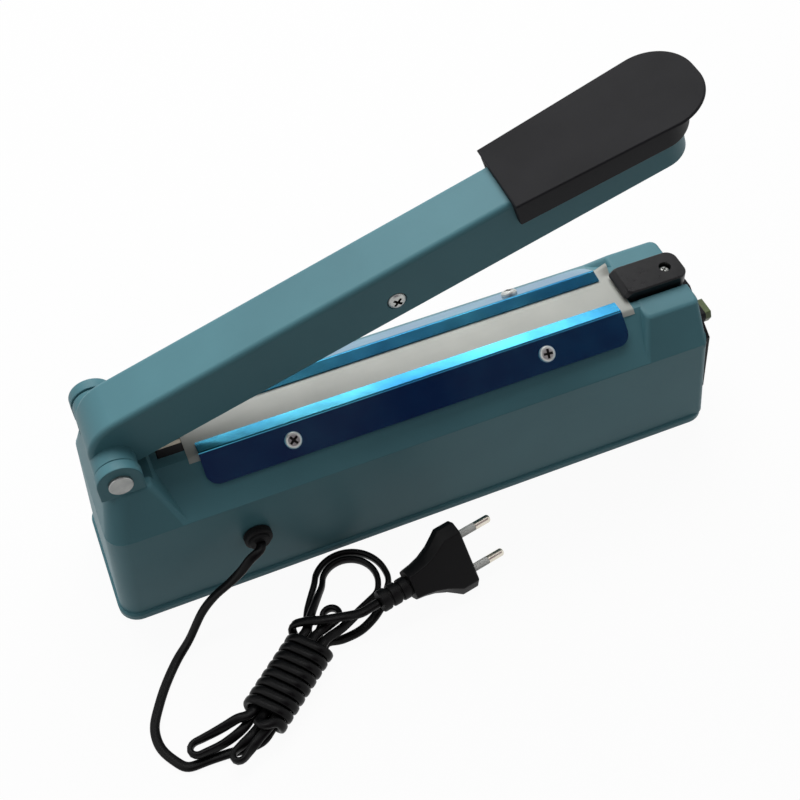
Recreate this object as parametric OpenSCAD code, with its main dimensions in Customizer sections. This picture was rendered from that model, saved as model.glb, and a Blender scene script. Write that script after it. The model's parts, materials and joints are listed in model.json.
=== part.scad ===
// Hand impulse sealer with an open press arm, a clamped sealing bed and a hanked mains cord.
// X runs from the hinge end to the knob end, Y from the cord side to the back, Z up from the table.
// The origin is on the table, midway between the hinge end of the base and the face of the knob.

/* [Base] */
// Length of the base plate
base_l = 313; // [306:1:325]
// Width of the base plate
base_w = 72; // [70:1:80]
// Corner radius of the base plate seen from above
base_r = 10; // [7:0.5:14]
// Height of the lip that shows below the body
lip_h = 4.5; // [4:0.5:7]
// Thickness of the floor of the base plate
floor_t = 2; // [1.5:0.5:3]
// Diameter of a rubber foot
foot_d = 12; // [9:1:16]
// Height of a rubber foot below the base plate
foot_h = 3; // [2:0.5:6]

/* [Body] */
// Wall of the body
wall = 2.5; // [2:0.25:3]
// Height of the body wall from the lip to the crease
body_h = 58.5; // [56:0.5:66]
// Inset of the wall from the edge of the lip
lip_step = 1.2; // [0.8:0.1:2]
// Lean of the hinge end of the body from lip to crease
end_lean = 4.7; // [2:0.1:7]
// Height of the roof from the crease to the bed
roof_h = 17.2; // [16:0.2:20]
// Width of the flat top of the roof
roof_w = 28.8; // [27:0.2:32]
// Height of the front shoulder above the crease
shoulder_h = 17.5; // [17:0.5:20]
// Width of the top of the front shoulder
shoulder_w = 45; // [40:1:52]
// Length of the top of the front shoulder
shoulder_l = 31; // [29:0.5:34]

/* [Hinge] */
// Distance of the hinge pin from the hinge end of the base
hinge_x = 20.2; // [18.5:0.1:22]
// Height of the hinge pin above the crease
hinge_h = 32.1; // [31.5:0.1:36]
// Radius of the ears and of the arm barrel
ear_r = 9; // [8:0.1:9.4]
// Thickness of an ear
ear_t = 5.5; // [4:0.5:7]
// Clear width between the ears
ear_gap = 43; // [38:0.2:45]
// Diameter of the hinge pin
pin_d = 6; // [5:0.5:7]
// Diameter of the head of the hinge pin
pin_head_d = 9.6; // [8.5:0.1:12]
// Opening angle of the arm at rest
open_deg = 17.3; // [14:0.1:22]

/* [Arm] */
// Width of the arm
arm_w = 28; // [27:0.2:30]
// Height of the top of the arm above the pin
arm_top = 20; // [18:0.5:23]
// Depth of the arm walls below the pin at the hinge end
arm_drop = 8; // [7:0.1:8.5]
// Distance of the arm tip from the pin
arm_reach = 285; // [280:1:287]
// Wall of the arm
arm_wall = 2.4; // [2:0.1:3]
// Rounding of the upper edges of the arm
arm_round = 4.5; // [3:0.5:6]
// Place of the side screws along the arm
arm_screw_s = 141; // [100:1:190]

/* [Grip] */
// Start of the grip along the arm
grip_s = 202; // [190:1:215]
// Width of the grip at its start
grip_w = 39.4; // [37:0.2:44]
// Radius of the round end of the grip
grip_end_r = 24.5; // [21:0.5:27]
// Distance of the grip's tip from the pin
grip_reach = 297; // [294:1:304]
// Thickness of the top of the grip
grip_t = 3; // [2.5:0.1:5]
// Depth of the skirt of the grip below the top of the arm
skirt_h = 10.5; // [7:0.5:13]
// Wall of the skirt of the grip
skirt_t = 3.2; // [2:0.1:3.5]

/* [Sealing bed] */
// Length of a clamp strip
strip_l = 211.4; // [200:0.2:216]
// Thickness of a clamp strip
strip_t = 1; // [0.6:0.1:1.2]
// Width of the upper flange of a clamp strip
strip_top = 5.3; // [4:0.1:6]
// Width of the side flange of a clamp strip
strip_side = 15.6; // [13:0.2:18]
// Spacing of the two screws in a clamp strip
strip_pitch = 127; // [100:1:150]
// Width of the seal bar
bar_w = 18; // [16:0.5:18.5]
// Height of the seal bar
bar_h = 7.6; // [6:0.1:9]
// Width of the heating element
element_w = 3; // [2:0.5:5]
// Thickness of the PTFE cloth
cloth_t = 0.25; // [0.15:0.05:0.3]
// Width of the silicone strip under the arm
silicone_w = 9; // [6:0.5:10]
// Height of the silicone strip under the arm
silicone_h = 4; // [3:0.5:5]

/* [Switch cap] */
// Length of the switch cap
cap_l = 34; // [33:0.5:35]
// Width of the switch cap
cap_w = 18.4; // [16:0.2:20]
// Height of the switch cap above the shoulder
cap_h = 5; // [4.5:0.1:5]
// Travel of the switch cap
cap_travel = 1.5; // [0.8:0.1:1.5]

/* [Panel and knob] */
// Thickness of the control panel
panel_t = 4; // [3:0.5:5]
// Width of the control panel at its foot
panel_w = 64; // [60:0.5:66]
// Height of the foot of the control panel above the lip of the base
panel_low = 14; // [8:0.5:16]
// Height of the knob axis above the lip of the base
knob_z = 37; // [34:0.5:42]
// Radius of the timer knob
knob_r = 7.5; // [7.5:0.1:12]
// Reach of the timer knob past the base
knob_out = 16; // [14:0.5:20]
// Length of the green cap on the knob
knob_cap_l = 3.5; // [2:0.5:5]

/* [Cord and plug] */
// Width of the flat cord
cord_w = 4.5; // [4:0.1:4.5]
// Thickness of the flat cord
cord_t = 3; // [2.6:0.1:3]
// Number of turns wrapped round the hank
wraps = 8; // [6:1:8]
// Width of the plug at its pins
plug_w = 35.3; // [34:0.1:36]
// Thickness of the plug
plug_t = 13.7; // [13:0.1:14.5]
// Diameter of a plug pin
plug_pin_d = 4; // [3.8:0.1:4.8]
// Length of a plug pin
plug_pin_l = 19; // [18:0.5:20]
// Spacing of the plug pins
plug_pitch = 18.6; // [18:0.1:19.2]

/* [Hidden] */
$fn = 64;

// Clearances
side_gap = 0.4;
fit_gap = 0.05;
seat_gap = 0.02;
free_gap = 0.3;

// Colours
teal = "#5f868c";
black = "#2b2b2e";
blue = "#2f86c4";
zinc = "#c9cbcb";
brass = "#c7a65a";

// Levels above the table
z_lip = foot_h;
z_floor = foot_h + floor_t;
z_body = foot_h + lip_h;
z_crease = z_body + body_h;
z_roof = z_crease + roof_h;
z_shoulder = z_crease + shoulder_h;
z_pin = z_crease + hinge_h;
ear_drop = 7.9;
z_ledge = z_pin - ear_drop;

// Places along the base
cx = -knob_out / 2;
x_l = cx - base_l / 2;
x_r = cx + base_l / 2;
x_end = x_r - panel_t;
x_pin = x_l + hinge_x;
lean_deg = atan(end_lean / body_h);

// Half widths of the body section
hw_low = base_w / 2 - lip_step;
hw_crease = base_w / 2;
hw_roof = roof_w / 2;
hw_ear = ear_gap / 2 + ear_t;
ledge_w = 0.5;
roof_deg = atan2(roof_h, hw_crease - hw_roof);

// Pedestal of the hinge, measured from the pin
ped_back = ear_r + 0.2;
ped_top = 12.3;
ped_foot = 22.8;
plan_hw = base_w / 2 + 0.5;
corner_r = base_r - lip_step + 0.5;
end_r = 4.5;
foot_slope = 6;

// Bed, trough and its blocks
strip_off = 5.5;
strip_x = cx + strip_off;
strip_x0 = strip_x - strip_l / 2;
screw_drop = 7.5;
strip_corner_r = 5;
strip_screw_head = 8;
strip_screw_head_h = 2.2;
strip_screw_l = 6;
hinge_room = 18.3;
cap_room = 35;
trough_x0 = x_pin + hinge_room;
trough_x1 = x_end - cap_room;
trough_hw = bar_w / 2 + side_gap / 2;
tape_t = 0.3;
element_t = 0.3;
z_bar = z_roof - element_t - tape_t;
z_trough = z_bar - bar_h;
rear_block_room = 13.5;
front_block_room = 13;
bar_x0 = trough_x0 + rear_block_room;
bar_x1 = trough_x1 - front_block_room;
block_gap = 0.5;
tab_t = 0.8;
tab_hw = 4;
cloth_x0 = bar_x0 - tab_t;
cloth_x1 = trough_x1 + block_gap;
cloth_reach = 5;
z_cloth = z_roof + cloth_t;

// Arm, in its own frame with the pin at the origin
barrel_hw = ear_gap / 2 - side_gap;
arm_tip_drop = z_pin - z_shoulder - cap_h - side_gap;
bend_x = arm_top - ear_r;
hollow_s0 = 18;
rib_s = 258;
rib_t = 4;
spring_hw = 7;
spring_head = 8.5;
holder_s0 = 34;
holder_s1 = 249;
holder_top = 5;
holder_low = -3;
silicone_low = z_cloth + free_gap - z_pin;
arm_screw_h = 1.1;
arm_screw_d = 4;
arm_screw_l = 8;
screw_recess = 1.2;

// Switch cap
cap_in = 2.3;
cap_x1 = x_end - cap_in;
cap_x0 = cap_x1 - cap_l;
cap_round_x = cap_x1 - cap_w / 2;
z_cap = z_shoulder + cap_h;
cap_under = z_cloth + cap_travel + side_gap;
stem_in = 9;
stem_x = cap_round_x - stem_in;
skirt_in = 8;
skirt_x = stem_x - skirt_in;
cap_sink = 1.5;
cap_low = z_shoulder - cap_sink;
pocket_gap = 0.7;
pocket_z = cap_low - cap_travel - pocket_gap;
cap_wall = 2;
stem_d = 5;
switch_drop = 3.5;
switch_z = z_crease - switch_drop;
switch_h = 9;
plunger_lift = 0.5;
plunger_z = switch_z + switch_h + cap_travel + plunger_lift;
plunger_d = 2.4;

// Panel and knob
panel_hw = panel_w / 2;
z_panel = z_body + panel_low;
z_knob = z_body + knob_z;
pot_r = 8;
pot_l = 11;
bush_r = 3.5;
shaft_r = 3;
nut_t = 2;
nut_r = 5.5;

// Sweep of a tube through points that hold a place and a width direction
function unit(v) = v / norm(v);
function place(p) = [p[0], p[1], p[2]];
function width_dir(p) = [p[3], p[4], p[5]];
function spline(a, b, c, d, t) = 0.5 * (2 * b + (c - a) * t + (2 * a - 5 * b + 4 * c - d) * t * t
  + (3 * b - a - 3 * c + d) * t * t * t);
function smooth_path(p, step) = let (n = len(p)) [
  for (i = [0 : n - 2])
    let (a = i > 0 ? p[i - 1] : 2 * p[0] - p[1],
      d = i < n - 2 ? p[i + 2] : 2 * p[n - 1] - p[n - 2],
      m = max(1, round(norm(place(p[i + 1]) - place(p[i])) / step)))
    for (k = [0 : m - 1]) spline(a, p[i], p[i + 1], d, k / m),
  p[n - 1]];
function heading(p, i) = unit(place(p[min(i + 1, len(p) - 1)]) - place(p[max(i - 1, 0)]));
function squared(w, t) = unit(w - (w * t) * t);
function frames(p) = [for (i = [0 : len(p) - 1])
  let (t = heading(p, i), w = squared(width_dir(p[i]), t)) [place(p[i]), w, cross(t, w)]];

module swept(p, w, t, sides) {
  f = frames(p);
  n = len(f);
  points = [for (r = f) for (k = [0 : sides - 1])
    r[0] + w / 2 * cos(360 * k / sides) * r[1] + t / 2 * sin(360 * k / sides) * r[2]];
  skin = [for (i = [0 : n - 2]) for (k = [0 : sides - 1])
    let (a = i * sides + k, b = i * sides + (k + 1) % sides)
    each [[a, a + sides, b], [b, a + sides, b + sides]]];
  first = [for (k = [1 : sides - 2]) [0, k, k + 1]];
  last = [for (k = [1 : sides - 2]) [0, k + 1, k] + (n - 1) * sides * [1, 1, 1]];
  polyhedron(points = points, faces = concat(skin, first, last), convexity = 10);
}

// Least gap of a tube to itself, between rings more than skip apart along it
function half_size(d, r, w, t) = norm([w / 2 * (d * r[1]), t / 2 * (d * r[2])]);
function ring_gap(a, b, w, t) = let (d = b[0] - a[0], l = norm(d), u = d / l)
  l - half_size(u, a, w, t) - half_size(u, b, w, t);
function least_gap(p, w, t, skip) = let (f = frames(p), n = len(f))
  min([for (i = [0 : n - skip - 1]) for (j = [i + skip : n - 1]) ring_gap(f[i], f[j], w, t)]);

// Outlines pulled along one axis
module along_x(a, b) { translate([a, 0, 0]) rotate([90, 0, 90]) linear_extrude(b - a) children(); }
module along_y(a, b) { translate([0, b, 0]) rotate([90, 0, 0]) linear_extrude(b - a) children(); }
module along_z(a, b) { translate([0, 0, a]) linear_extrude(b - a) children(); }
module rod_x(a, b, y, z, r) { translate([a, y, z]) rotate([0, 90, 0]) cylinder(h = b - a, r = r); }
module rod_y(x, a, b, z, r) { translate([x, a, z]) rotate([-90, 0, 0]) cylinder(h = b - a, r = r); }
module rod_z(x, y, a, b, r) { translate([x, y, a]) cylinder(h = b - a, r = r); }
module block(a, b) { translate(a) cube(b - a); }
module both_sides() { children(); mirror([0, 1, 0]) children(); }

// Rectangle with round corners between two opposite corners
module round_rect(a, b, r) {
  translate([a[0] + r, a[1]]) square([b[0] - a[0] - 2 * r, b[1] - a[1]]);
  translate([a[0], a[1] + r]) square([b[0] - a[0], b[1] - a[1] - 2 * r]);
  for (x = [a[0] + r, b[0] - r], y = [a[1] + r, b[1] - r]) translate([x, y]) circle(r);
}

// Cross section of the body, inset by d, with its flat top at half width y and height z
function body_section(y, z, d, low) = let (a = atan2(z - z_crease, hw_crease - y),
  k = d * cos(a) / (1 + sin(a)), m = d * tan(a / 2))
  [[-(hw_low - d), low], [hw_low - d, low], [hw_crease - d, z_crease - k], [y - m, z - d],
   [-(y - m), z - d], [-(hw_crease - d), z_crease - k]];

// Frame of the front roof slope: X along the bed, Y down the slope, Z out of it
module on_slope(x) {
  translate([x, -hw_roof, z_roof]) rotate([roof_deg, 0, 0]) mirror([0, 1, 0]) children();
}

module pan_screw(d, head_d, head_h, length) {
  difference() {
    cylinder(h = head_h, d = head_d);
    for (a = [0, 90]) rotate(a) translate([-head_d * 0.28, -0.5, head_h * 0.5])
      cube([head_d * 0.56, 1, head_h]);
  }
  translate([0, 0, -length]) cylinder(h = length, d = d);
}

// Sites of repeated fasteners
foot_sites = [for (x = [-1, 1], y = [-1, 1]) [cx + x * (base_l / 2 - 22), y * (base_w / 2 - 12)]];
base_screw_sites = [for (x = [-1, 1], y = [-1, 1]) [cx + x * (base_l / 2 - 40), y * (base_w / 2 - 9)]];
strip_screw_sites = [for (s = [-1, 1]) strip_x + s * strip_pitch / 2];
panel_screw_in = 10;
panel_screw_sites = [for (y = [-1, 1], z = [z_body + panel_low + 6, z_crease - 12])
  [y * (panel_hw - panel_screw_in), z]];
base_screw_d = 3;
base_screw_head_h = 1.8;
base_screw_l = 5;
foot_clear = 0.5;
strip_screw_d = 3;
panel_screw_d = 3;
boss_r = 4;
boss_h = 10;

module body_outer() {
  far = base_l + 40;
  intersection() {
    translate([x_l + lip_step, 0, z_body]) rotate([0, lean_deg, 0]) translate([0, 0, -20])
      along_z(0, 160) round_rect([0, -plan_hw], [far, plan_hw], corner_r);
    along_z(z_body, z_pin + 40) round_rect([x_l - 40, -plan_hw], [x_end, plan_hw], end_r);
    union() {
      along_x(x_l - 20, x_r + 20) polygon([[-hw_low, z_body], [hw_low, z_body], [hw_crease, z_crease],
        [-hw_crease, z_crease]]);
      along_x(x_pin, x_r + 20) polygon(body_section(hw_roof, z_roof, 0, z_body));
      intersection() {
        along_x(x_l - 20, x_pin + 40) polygon(body_section(hw_ear + ledge_w, z_ledge, 0, z_body));
        along_y(-60, 60) polygon([[x_l + lip_step + end_lean, z_crease], [x_pin + ped_foot, z_crease],
          [x_pin + ped_top, z_ledge], [x_pin - ped_back, z_ledge]]);
      }
      intersection() {
        along_x(x_end - 60, x_r + 20) polygon(body_section(shoulder_w / 2, z_shoulder, 0, z_body));
        along_y(-60, 60) polygon([[x_end - shoulder_l - foot_slope, z_crease], [x_r + 20, z_crease],
          [x_r + 20, z_shoulder], [x_end - shoulder_l, z_shoulder]]);
      }
      both_sides() along_y(ear_gap / 2, hw_ear) {
        translate([x_pin, z_pin]) circle(ear_r);
        translate([x_pin - ear_r, z_crease + 5]) square([2 * ear_r, hinge_h - 5]);
      }
    }
  }
}

module cap_outline(x0, grow) {
  translate([x0 - grow, -cap_w / 2 - grow]) square([cap_round_x - x0 + grow, cap_w + 2 * grow]);
  translate([cap_round_x, 0]) circle(cap_w / 2 + grow);
}

module body_hollow() {
  x_in = x_l + lip_step + end_lean * (z_roof - z_body) / body_h + wall;
  along_x(x_in, x_end - wall) polygon(body_section(hw_roof, z_roof, wall, z_body - 1));
}

module body_shell() color(teal) difference() {
  union() {
    difference() {
      body_outer();
      body_hollow();
    }
    block([trough_x0 - wall, -trough_hw - wall, z_trough - wall],
      [trough_x1 + wall, trough_hw + wall, z_roof - 1]);
    block([skirt_x - wall - 1, -cap_w / 2 - side_gap - wall, pocket_z - wall],
      [x_end - wall / 2, cap_w / 2 + side_gap + wall, z_shoulder - 1]);
    for (p = base_screw_sites) rod_z(p[0], p[1], z_floor, z_floor + boss_h, boss_r);
    for (p = base_screw_sites)
      block([p[0] - 1, min(p[1], sign(p[1]) * (hw_low - 1)), z_body + rim_t + free_gap],
        [p[0] + 1, max(p[1], sign(p[1]) * (hw_low - 1)), z_floor + boss_h]);
  }
  block([x_l - 20, -ear_gap / 2, z_pin - ear_r - 0.7], [x_pin + 40, ear_gap / 2, z_pin + 40]);
  rod_y(x_pin, -40, 40, z_pin, pin_d / 2 + seat_gap);
  block([trough_x0, -trough_hw, z_trough], [trough_x1, trough_hw, z_roof + 5]);
  for (x = [trough_x0 + 5, trough_x1 - 5]) rod_z(x, 0, z_trough - 2 * wall, z_trough + 1, 2.5);
  along_z(pocket_z, z_shoulder + 20) cap_outline(skirt_x, side_gap);
  rod_z(stem_x, 0, pocket_z - 2 * wall, pocket_z + 1, stem_d / 2 + side_gap);
  rod_z(cap_round_x, 0, pocket_z - 2 * wall, pocket_z + 1, 1.5 + seat_gap);
  both_sides() for (x = strip_screw_sites) on_slope(x) translate([0, screw_drop, -10])
    cylinder(h = 20, d = strip_screw_d + 2 * seat_gap);
  rod_y(grommet_x, -base_w, -base_w / 2 + 3 * wall, grommet_z, grommet_neck_r + 0.1);
  block([x_end - 2 * wall, -pot_r - 6, z_knob - pot_r - 4], [x_end + 1, pot_r + 6, z_knob + pot_r + 6]);
  for (p = panel_screw_sites) rod_x(x_end - 2 * wall, x_end + 1, p[0], p[1], panel_screw_d / 2 + seat_gap);
  rod_x(x_end - 2 * wall, x_end + 1, 0, lamp_z, lamp_r + 0.2);
  for (p = base_screw_sites)
    rod_z(p[0], p[1], z_floor - 1, z_floor + boss_h - 2, base_screw_d / 2 + seat_gap);
}

rim_t = 1.6;
module base_plate() color(teal) difference() {
  union() {
    along_z(z_lip, z_body) round_rect([x_l, -base_w / 2], [x_r, base_w / 2], base_r);
    along_z(z_lip, z_body + rim_t) round_rect([x_l + 13, -hw_low + wall + free_gap],
      [x_end - wall - free_gap, hw_low - wall - free_gap], base_r - 4);
  }
  along_z(z_floor, z_body + 10) round_rect([x_l + 13 + rim_t, -hw_low + wall + free_gap + rim_t],
    [x_end - wall - free_gap - rim_t, hw_low - wall - free_gap - rim_t], base_r - 5);
  for (p = base_screw_sites) {
    rod_z(p[0], p[1], z_lip - 1, z_floor + 1, base_screw_d / 2 + 0.2);
    rod_z(p[0], p[1], z_floor - 0.01, z_body + 10, boss_r + 0.2);
  }
  for (p = foot_sites) rod_z(p[0], p[1], z_lip - 1, z_floor + 1, foot_d / 5 + seat_gap);
}

module base_screws() color(zinc) for (p = base_screw_sites)
  translate([p[0], p[1], z_lip]) mirror([0, 0, 1])
    pan_screw(base_screw_d, 2 * base_screw_d, min(base_screw_head_h, foot_h - foot_clear),
      floor_t + base_screw_l);

module rubber_feet() color(black) for (p = foot_sites) {
  rod_z(p[0], p[1], 0, foot_h, foot_d / 2);
  rod_z(p[0], p[1], foot_h, z_floor, foot_d / 5);
}

pin_head_t = 1.2;
clip_t = 1;
module hinge_pin() color(zinc) {
  rod_y(x_pin, -hw_ear, hw_ear + clip_t + 0.6, z_pin, pin_d / 2);
  rod_y(x_pin, -hw_ear - pin_head_t, -hw_ear, z_pin, pin_head_d / 2);
}

module hinge_clip() color(zinc) difference() {
  rod_y(x_pin, hw_ear, hw_ear + clip_t, z_pin, pin_d / 2 + 2);
  rod_y(x_pin, hw_ear - 1, hw_ear + clip_t + 1, z_pin, pin_d / 2 + seat_gap);
}

// Torsion spring round the pin: one leg on the pedestal, one under the arm
coil_r = pin_d / 2 + 2.2;
wire_d = 1.4;
curls = 5;
curl_rings = 8;
leg_l = 15;
spring_pitch = 2;
arm_leg_rise = 9;
floor_leg_drop = 21;
spring_a0 = 90 + open_deg + arm_leg_rise;
spring_a1 = 360 * curls - 90 - floor_leg_drop;
spring_rings = curls * curl_rings;
function coil_point(a) = [x_pin + coil_r * cos(a), spring_pitch * (a / 360 - curls / 2),
  z_pin + coil_r * sin(a)];
function coil_ring(a, l) = concat(coil_point(a) + l * [-sin(a), 0, cos(a)], [0, 1, 0]);
spring_path = concat(
  [for (l = [leg_l, leg_l / 2]) coil_ring(spring_a0, -l)],
  [for (k = [0 : spring_rings]) coil_ring(spring_a0 + (spring_a1 - spring_a0) * k / spring_rings, 0)],
  [for (l = [leg_l / 2, leg_l]) coil_ring(spring_a1, l * 0.8)]);
module return_spring() color(zinc) {
  echo(return_spring_gap = least_gap(spring_path, wire_d, wire_d, 6));
  swept(spring_path, wire_d, wire_d, 6);
}

// Frame of the arm: X along it, Y across, Z up, the pin at the origin
module on_arm() translate([x_pin, 0, z_pin]) rotate([0, -open_deg, 0]) children();

module arm_side() {
  circle(ear_r);
  intersection() {
    translate([bend_x, 0]) circle(arm_top);
    translate([bend_x - 2 * arm_top, 0]) square([2 * arm_top, arm_top]);
  }
  polygon([[bend_x, arm_top], [arm_reach, arm_top], [arm_reach, -arm_tip_drop], [12, -arm_drop],
    [ear_r / 2, -arm_drop], [-ear_r / 2, 0], [bend_x, 0]]);
}

module arm_plan(hw, s0) {
  translate([s0, -hw]) square([arm_reach - arm_w / 2 - s0, 2 * hw]);
  translate([arm_reach - arm_w / 2, 0]) circle(hw);
}

module press_arm() color(teal) on_arm() difference() {
  union() {
    intersection() {
      along_y(-arm_w, arm_w) arm_side();
      along_z(-40, 40) arm_plan(arm_w / 2, -40);
      along_x(-40, arm_reach + 5) {
        translate([-arm_w / 2, -40]) square([arm_w, 40 + arm_top - arm_round]);
        translate([-arm_w / 2 + arm_round, 0]) square([arm_w - 2 * arm_round, arm_top]);
        for (s = [-1, 1]) translate([s * (arm_w / 2 - arm_round), arm_top - arm_round]) circle(arm_round);
      }
    }
    rod_y(0, -barrel_hw, barrel_hw, 0, ear_r);
  }
  intersection() {
    along_z(-40, arm_top - arm_wall) arm_plan(arm_w / 2 - arm_wall, hollow_s0);
    union() {
      block([hollow_s0, -arm_w, -40], [rib_s, arm_w, 40]);
      block([rib_s + rib_t, -arm_w, -40], [arm_reach, arm_w, 40]);
    }
  }
  block([-20, -spring_hw, -20], [hollow_s0 + 1, spring_hw, spring_head]);
  rod_y(0, -40, 40, 0, pin_d / 2 + fit_gap);
  both_sides() {
    rod_y(arm_screw_s, arm_w / 2 - screw_recess, arm_w, arm_screw_h, arm_screw_d + 0.6);
    rod_y(arm_screw_s, 0, arm_w, arm_screw_h, arm_screw_d / 2 + fit_gap);
  }
}

module grip_plan(hw, r, tip) {
  polygon([[grip_s, -hw], [tip - r, -r], [tip - r, r], [grip_s, hw]]);
  translate([tip - r, 0]) circle(r);
}

module arm_grip() color(black) on_arm() {
  along_z(arm_top, arm_top + grip_t) grip_plan(grip_w / 2, grip_end_r, grip_reach);
  along_z(arm_top - skirt_h, arm_top) difference() {
    arm_plan(arm_w / 2 + skirt_t, grip_s);
    arm_plan(arm_w / 2 + fit_gap, grip_s - 1);
  }
}

module arm_screws() color(zinc) on_arm() both_sides()
  translate([arm_screw_s, arm_w / 2 - screw_recess, arm_screw_h]) rotate([-90, 0, 0])
    pan_screw(arm_screw_d, 8.4, 1.6, arm_screw_l);

module strip_holder() color(black) on_arm() difference() {
  union() {
    block([holder_s0, -arm_w / 2 + arm_wall + free_gap, holder_low],
      [holder_s1, arm_w / 2 - arm_wall - free_gap, holder_top]);
    block([holder_s0, -silicone_w / 2 - 1, silicone_low + silicone_h],
      [holder_s1, silicone_w / 2 + 1, holder_low + 1]);
  }
  both_sides() rod_y(arm_screw_s, arm_w / 2 - screw_recess - arm_screw_l, arm_w, arm_screw_h,
    arm_screw_d / 2 + seat_gap);
}

module silicone_strip() color("#b9b4aa") on_arm()
  block([holder_s0 + 1, -silicone_w / 2, silicone_low],
    [holder_s1 - 1, silicone_w / 2, silicone_low + silicone_h]);

module seal_bar() color("#a9adaf")
  block([bar_x0, -bar_w / 2, z_trough], [bar_x1, bar_w / 2, z_bar]);

module insulation_tape() color("#d8c9a0")
  block([bar_x0, -bar_w / 2 + 2, z_bar], [bar_x1, bar_w / 2 - 2, z_bar + tape_t]);

module heating_element() color("#9c9a94")
  block([trough_x0 + 3, -element_w / 2, z_roof - element_t], [trough_x1 - 3, element_w / 2, z_roof]);

// Edge of a sheet that follows the roof: its fold line and its lower end, at height d above the roof
function fold_at(d) = [hw_roof + d * tan(roof_deg / 2), z_roof + d];
function down_slope(d, q) = fold_at(d) + q * [cos(roof_deg), -sin(roof_deg)];

module ptfe_cloth() color("#dcdcd6") along_x(cloth_x0, cloth_x1) {
  edge = [fold_at(0), down_slope(0, cloth_reach), down_slope(cloth_t, cloth_reach), fold_at(cloth_t)];
  polygon(concat(edge, [for (i = [3 : -1 : 0]) [-edge[i][0], edge[i][1]]]));
}

module clamp_strip() difference() {
  intersection() {
    mirror([0, 1, 0]) along_x(strip_x0, strip_x0 + strip_l) polygon([fold_at(cloth_t),
      down_slope(cloth_t, strip_side), down_slope(cloth_t + strip_t, strip_side), fold_at(cloth_t + strip_t),
      [hw_roof - strip_top, z_cloth + strip_t], [hw_roof - strip_top, z_cloth]]);
    on_slope(strip_x0) along_z(-20, 20) round_rect([0, -30], [strip_l, strip_side + strip_t],
      strip_corner_r);
  }
  for (x = strip_screw_sites) on_slope(x) translate([0, screw_drop, -strip_screw_l])
    cylinder(h = 2 * strip_screw_l, d = strip_screw_d + side_gap);
}

module front_clamp_strip() color(blue) clamp_strip();
module rear_clamp_strip() color(blue) mirror([0, 1, 0]) clamp_strip();

module strip_screws() color(zinc) both_sides() for (x = strip_screw_sites)
  on_slope(x) translate([0, screw_drop, cloth_t + strip_t]) pan_screw(strip_screw_d,
    strip_screw_head, strip_screw_head_h, strip_screw_l);

// Insulating block at an end of the trough, with a seat for its brass tab
module end_block(x0, x1) difference() {
  block([x0, -trough_hw + 0.2, z_trough], [x1, trough_hw - 0.2, z_roof - element_t]);
  block([x0 - 1, -tab_hw, z_roof - element_t - tab_t], [x1 + 1, tab_hw, z_roof]);
}
module brass_tab(x0, x1) block([x0, -tab_hw, z_roof - element_t - tab_t], [x1, tab_hw, z_roof - element_t]);
module rear_block() color(black) end_block(trough_x0 + block_gap, bar_x0 - block_gap);
module front_block() color(black) end_block(bar_x1 + block_gap, trough_x1 - block_gap);
module rear_terminal() color(brass) brass_tab(trough_x0 + 1, bar_x0 - 1);
module front_terminal() color(brass) brass_tab(bar_x1 + 1, trough_x1 - 1);

cap_bore_r = 3.9;
cap_bore_depth = 2.6;
cap_chamfer = 2.2;
cap_screw_d = 3;
cap_screw_head = 6.4;
cap_screw_head_h = 1.8;
cap_seat_z = z_cap - cap_bore_depth;
module switch_cap() color(black) difference() {
  union() {
    intersection() {
      along_z(cap_under, z_cap) cap_outline(cap_x0, 0);
      along_y(-cap_w, cap_w) polygon([[cap_x0, cap_under], [x_r, cap_under], [x_r, z_cap],
        [cap_x0 + cap_chamfer, z_cap], [cap_x0, z_cap - cap_chamfer]]);
    }
    along_z(cap_low, cap_under) difference() {
      cap_outline(skirt_x, 0);
      cap_outline(skirt_x, -cap_wall);
    }
    rod_z(stem_x, 0, plunger_z + free_gap, cap_under + 1, stem_d / 2);
  }
  rod_z(cap_round_x, 0, cap_low - 1, z_cap + 1, cap_screw_d / 2 + free_gap);
  rod_z(cap_round_x, 0, cap_seat_z, z_cap + 1, cap_bore_r);
}

module cap_screw() color(zinc) translate([cap_round_x, 0, cap_seat_z + free_gap / 2])
  pan_screw(cap_screw_d, cap_screw_head, cap_screw_head_h, cap_seat_z + free_gap / 2 - pocket_z + wall);

// Compression spring round the stem of the cap
cap_coil_r = stem_d / 2 + 1.6;
cap_wire = 0.8;
cap_curls = 3;
cap_spring_z0 = pocket_z + cap_wire / 2 + 0.1;
cap_spring_z1 = cap_under - cap_wire / 2 - 0.1;
cap_spring_path = [for (k = [0 : cap_curls * curl_rings]) let (a = 360 * k / curl_rings)
  [stem_x + cap_coil_r * cos(a), cap_coil_r * sin(a),
   cap_spring_z0 + (cap_spring_z1 - cap_spring_z0) * k / (cap_curls * curl_rings), 0, 0, 1]];
module cap_spring() color(zinc) {
  echo(cap_spring_gap = least_gap(cap_spring_path, cap_wire, cap_wire, 6));
  swept(cap_spring_path, cap_wire, cap_wire, 6);
}

switch_l = 20;
switch_w = 6.4;
plate_t = 1.2;
bracket_hl = 8;
module micro_switch() color(black) difference() {
  block([stem_x - switch_l / 2, -switch_w / 2, switch_z],
    [stem_x + switch_l / 2, switch_w / 2, switch_z + switch_h]);
  rod_z(stem_x, 0, switch_z + 2, switch_z + switch_h + 1, plunger_d / 2 + fit_gap);
}

module switch_plunger() color("#b03030")
  rod_z(stem_x, 0, switch_z + 2 + cap_travel + plunger_lift, plunger_z, plunger_d / 2);

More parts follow.
